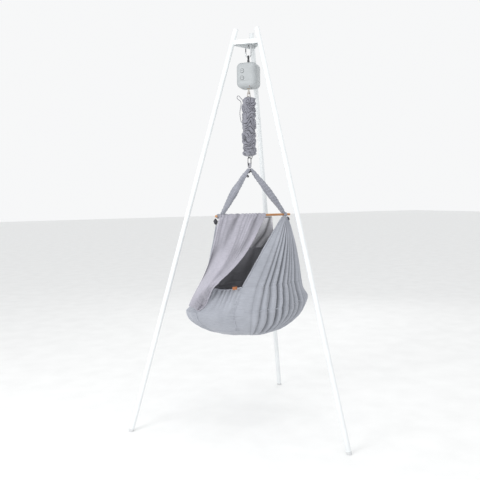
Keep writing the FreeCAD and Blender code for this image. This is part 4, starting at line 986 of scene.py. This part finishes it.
# A pale sheet of painted light inside the top of the back wall.
painted_light_sheet = sheet("back_painted_light_sheet", 130, 50, facing_place, (0.45, 0.18), crease=facing_crease_shade)
for piece in (lining, back_lining, painted_light_sheet):
    thicken(piece, 0.0020)
finish_piece(painted_light_sheet, "cradle", "cradle_cloth", painted_light_cloth)
finish_piece(lining, "cradle", "liner_cloth", inner_cloth, "liner")
finish_piece(back_lining, "cradle", "liner_cloth", inner_cloth)
back_edge = [back_skin(0.0, k / 40) for k in range(41)]
welt("back_wall_edge", back_edge, 0.0026, 0.40)

# %% [markdown]
# The canopy is one sheet thrown over the bar.  Its front half is swept sideways and
# tied down at the head end, which pulls long slanting folds across it.

# %% The canopy
CANOPY_LEFT = -0.180
CANOPY_RIGHT = 0.088
BAR_Z = 1.071
OVER = 0.0097
head_edge = [Vector(p) for p in ((CANOPY_LEFT, -OVER, BAR_Z), (-0.232, -0.034, 0.965), (-0.232, -0.046, 0.800),
                                 (-0.336, -0.062, 0.752), (-0.374, -0.052, 0.645))]
hem_edge = [Vector(p) for p in ((CANOPY_RIGHT, -OVER, BAR_Z), (-0.028, -0.058, 0.947), (-0.083, -0.120, 0.822),
                                (-0.322, -0.205, 0.775), (-0.360, -0.082, 0.645))]
WRAP = 0.07


def on_cradle(p, away):
    """The nearest place on the outside of the tub or pouch, a little way off the cloth."""
    best = None
    for shell in (tub, pouch, front_low):
        hit, where, normal, _ = shell.closest_point_on_mesh(p + LINE)
        if hit and (best is None or (where - p - LINE).length < best[0]):
            best = ((where - p - LINE).length, where - LINE + normal * away)
    return best[1]


def canopy_fold(u, t):
    """Long slanting folds across the canopy, with short puckers under the bar."""
    pull = u + 0.42 * t * (1 - u)
    along = math.sin(math.pi * min(1, t * 1.1 + 0.05)) ** 0.8
    fold = 0.0075 * math.sin(11.5 * pull + 1.5 * math.sin(3 * t) + 0.4) * along
    fold += 0.0035 * math.sin(27 * pull - 5.0 * t + 1.0) * (1 - 0.7 * t)
    fold += 0.0035 * math.sin(44 * u + 2 * t) * max(0.0, 1 - 4.5 * t)
    return fold + 0.0045 * ripple(u * 1.4, t * 2.2, 0.0, 0.4)


def canopy_place(u, v):
    gathers = 0.0013 * math.sin(70 * u + 3 * math.sin(9 * u))
    if v < WRAP:
        a = math.radians(mix(-20, 180, v / WRAP))
        r = OVER + gathers + 0.0008
        return Vector((mix(CANOPY_LEFT, CANOPY_RIGHT, u), r * math.cos(a), BAR_Z + r * math.sin(a)))
    t = (v - WRAP) / (1 - WRAP)
    left = bezier(head_edge, t)
    right = bezier(hem_edge, t)
    p = mix(left, right, u)
    belly = 0.022 * math.sin(math.pi * u) * math.sin(math.pi * t)
    free = ease(u / 0.05 + 0.15) * ease(t / 0.06) * (1 - 0.75 * ease((u - 0.82) / 0.18))
    out = Vector((-0.35, -1.0, 0.0))
    p = p + out * (belly + canopy_fold(u, t) * free) + Vector((0, -gathers * (1 - t), 0))
    hug = ease((t - 0.70) / 0.22) * ease((u - 0.25) / 0.6)
    if hug > 0:
        p = mix(p, on_cradle(p, 0.0045 + 0.003 * (1 - t)), hug)
    return p


# Painted shade: the canopy is painted darker in the hollows of its folds.
def canopy_crease_shade(u, v):
    return 0.75 * min(1.0, max(0.0, -canopy_fold(u, max(0.0, (v - WRAP) / (1 - WRAP))) / 0.013)) ** 1.5


canopy = sheet("canopy_sheet", 150, 170, canopy_place, (0.42, 0.60), crease=canopy_crease_shade)
thicken(canopy, 0.0022)
finish_piece(canopy, "cradle", "cradle_cloth", canopy_cloth, "canopy")
hem_points = [canopy_place(1.0, mix(WRAP, 1.0, k / 70)) for k in range(71)]
welt("canopy_hem", hem_points, 0.0030, 0.62, canopy_cloth)

# %% [markdown]
# The small leather tag sewn to the pouch's hem, left plain.

# %% The tag
TAG_AT = Vector((-0.163, -0.1290, 0.7255))


def tag_place(u, v):
    across = u - 0.5
    bow = 0.004 * math.cos(3 * across)
    return TAG_AT + Vector((0.026 * across, -0.0015 - bow - 0.002 * v, 0.006 - 0.015 * v + 0.0014 * across))


tag = sheet("plain_tag", 12, 8, tag_place, (0.026, 0.015))
thicken(tag, 0.0014)
edge = tag.modifiers.new("soft edge", "BEVEL")
edge.width = 0.0004
edge.segments = 2
apply_all(tag)
finish_piece(tag, "cradle", "tag_leather", tag_leather, "label_tag")

# %% [markdown]
# The mattress is a stuffed pad, and stuffing is what cloth simulation does well: the
# pad is remeshed evenly, blown up from inside for a moment, held to a few millimetres of
# swelling, and kept as it is.

# %% The mattress
PAD_TOP = 0.506
PAD_HALF_X = 0.180
PAD_HALF_Y = 0.080
MOST_SWELL = 0.006


def pad_place(u, v):
    """A flat-topped pad that fills the bottom of the tub."""
    a = 2 * math.pi * u
    levels = [(0.0, 0.0), (0.86, 0.0), (1.0, 0.010), (0.80, 0.026), (0.0, 0.036)]
    at = v * (len(levels) - 1)
    k = min(int(at), len(levels) - 2)
    share = mix(levels[k][0], levels[k + 1][0], at - k)
    height = PAD_TOP - mix(levels[k][1], levels[k + 1][1], at - k)
    s = math.sin(a)
    half_width = PAD_HALF_Y * share * math.copysign(abs(s) ** 1.15, s)
    return Vector((BOTTOM.x + PAD_HALF_X * share * math.cos(a), half_width, height))


pad = sheet("mattress_pad", 96, 40, pad_place, (1.1, 0.25), closed=True)
grid = pad.modifiers.new("even mesh", "REMESH")
grid.mode = "VOXEL"
grid.voxel_size = 0.006
apply_all(pad)
before = [v.co.copy() for v in pad.data.vertices]
swell = pad.modifiers.new("stuffing", "CLOTH")
swell.settings.use_pressure = True
swell.settings.uniform_pressure_force = 4.0
swell.settings.effector_weights.gravity = 0.0
swell.point_cache.frame_start = 1
swell.point_cache.frame_end = 20
for step in range(1, 21):
    bpy.context.scene.frame_set(step)
apply_all(pad)
bpy.context.scene.frame_set(1)
for vertex, old in zip(pad.data.vertices, before):
    moved = vertex.co - old
    if moved.length > MOST_SWELL:
        vertex.co = old + moved.normalized() * MOST_SWELL
round_off = pad.modifiers.new("smooth", "SUBSURF")
round_off.levels = 1
round_off.render_levels = 1
apply_all(pad)
bpy.ops.object.shade_smooth()
finish_piece(pad, "cradle", "liner_cloth", inner_cloth, "mattress")
print("pad", len(pad.data.polygons), "faces")

# %% [markdown]

# %% [markdown]
# Small parts on the motor's face: a tick on each of the two buttons, a dark ring of painted shade in the gap
# round each button, a moulded ledge beside them and a little lamp near the lower edge.

# %% Motor details
MOTOR_FACE = 0.053
MOTOR_TURN = Matrix.Rotation(math.radians(-45), 4, "Z")


def on_motor(piece, x, y, z):
    """Place a piece drawn about the origin at a point of the motor's own frame."""
    piece.data.transform(Matrix.Translation(LINE) @ MOTOR_TURN @ Matrix.Translation((x, y, z)))


def bevelled_block(name, size, radius, segments=2):
    clear_selection()
    bpy.ops.mesh.primitive_cube_add(size=1.0)
    block = bpy.context.object
    block.name = name
    block.scale = size
    bpy.ops.object.transform_apply(location=True, rotation=True, scale=True)
    edge = block.modifiers.new("edge", "BEVEL")
    edge.width = radius
    edge.segments = segments
    apply_all(block)
    bpy.ops.object.shade_smooth_by_angle(angle=math.radians(40))
    return block


for name, height, body in (("upper", 1.7925, "button_upper"), ("lower", 1.7575, "button_lower")):
    for k, lean in enumerate((-1, 1)):
        tick = bevelled_block("tick_%s_%d" % (name, k), (0.0042, 0.0006, 0.0011), 0.0002)
        up = 1 if name == "upper" else -1
        tick.data.transform(Matrix.Rotation(math.radians(38 * lean * up), 4, "Y"))
        on_motor(tick, -0.0186 + 0.0016 * lean, -MOTOR_FACE - 0.0026, height)
        finish_piece(tick, body, "drive_plastic", dark_plastic)
# Painted shade: a dark ring stands for the shadow in the gap round each button.
for name, height in (("upper", 1.7925), ("lower", 1.7575)):
    clear_selection()
    bpy.ops.mesh.primitive_torus_add(major_radius=0.0094, minor_radius=0.0010, major_segments=40,
                                     minor_segments=8, rotation=(math.radians(90), 0, 0))
    gap_shade_ring = bpy.context.object
    gap_shade_ring.name = "button_gap_shade_" + name
    bpy.ops.object.transform_apply(location=True, rotation=True, scale=True)
    bpy.ops.object.shade_smooth()
    on_motor(gap_shade_ring, -0.0186, -MOTOR_FACE - 0.0001, height)
    finish_piece(gap_shade_ring, "motor", "drive_plastic", gap_shade_grey)
ledge = bevelled_block("case_ledge", (0.022, 0.0016, 0.0014), 0.0005)
on_motor(ledge, 0.018, -MOTOR_FACE - 0.0002, 1.7505)
finish_piece(ledge, "motor", "case_plastic", case_plastic)
clear_selection()
bpy.ops.mesh.primitive_uv_sphere_add(segments=20, ring_count=12, radius=0.0022)
lamp = bpy.context.object
lamp.name = "indicator_lamp"
bpy.ops.object.shade_smooth()
on_motor(lamp, 0.017, -MOTOR_FACE + 0.0075, 1.7165)
lamp_finish = moulded("amber_lamp", linear(142, 92, 58), 0.3)
finish_piece(lamp, "motor", "drive_plastic", lamp_finish)
print("motor marks made")

# %% [markdown]
# The room: a plain pale floor, a bright even sky that does most of the lighting, a large
# window panel on the left that gives the folds their shade, and three weak fills.

# %% Floor and light
clear_selection()
bpy.ops.mesh.primitive_plane_add(size=60.0, location=(0, 0, -0.0005))
floor = bpy.context.object
floor.name = "studio_floor"
ground = Finish("pale_floor", linear(232, 232, 230), 0.7)
ground.tint(ground.noise(6, 3), linear(238, 238, 237), linear(243, 243, 242))
floor.data.materials.append(ground.material)

world = bpy.data.worlds.new("soft_room")
bpy.context.scene.world = world
world.use_nodes = True
tree = world.node_tree
sky = tree.nodes["Background"]
sky.inputs["Color"].default_value = (0.93, 0.94, 0.95, 1.0)
sky.inputs["Strength"].default_value = 0.95
pale = tree.nodes.new("ShaderNodeBackground")
pale.inputs["Color"].default_value = (0.93, 0.935, 0.94, 1.0)
seen = tree.nodes.new("ShaderNodeLightPath")
either = tree.nodes.new("ShaderNodeMixShader")
tree.links.new(seen.outputs["Is Camera Ray"], either.inputs[0])
tree.links.new(sky.outputs[0], either.inputs[1])
tree.links.new(pale.outputs[0], either.inputs[2])
tree.links.new(either.outputs[0], tree.nodes["World Output"].inputs["Surface"])


def lamp_panel(name, place, aim, size, power):
    clear_selection()
    bpy.ops.object.light_add(type="AREA", location=place)
    light = bpy.context.object
    light.name = name
    light.data.size = size
    light.data.energy = power
    light.rotation_euler = (Vector(aim) - Vector(place)).to_track_quat("-Z", "Y").to_euler()


lamp_panel("window", (-3.4, -1.2, 2.0), (0.05, 0.05, 1.1), 1.6, 54)
lamp_panel("ceiling", (0.0, -0.6, 4.4), (0.0, 0.0, 0.9), 3.0, 24)
lamp_panel("front", (-1.1, -3.0, 1.5), (0.1, 0.1, 0.8), 1.6, 6)
lamp_panel("rear", (2.4, 2.6, 2.4), (0.05, 0.05, 1.1), 2.4, 12)
bpy.context.scene.view_settings.view_transform = "Standard"
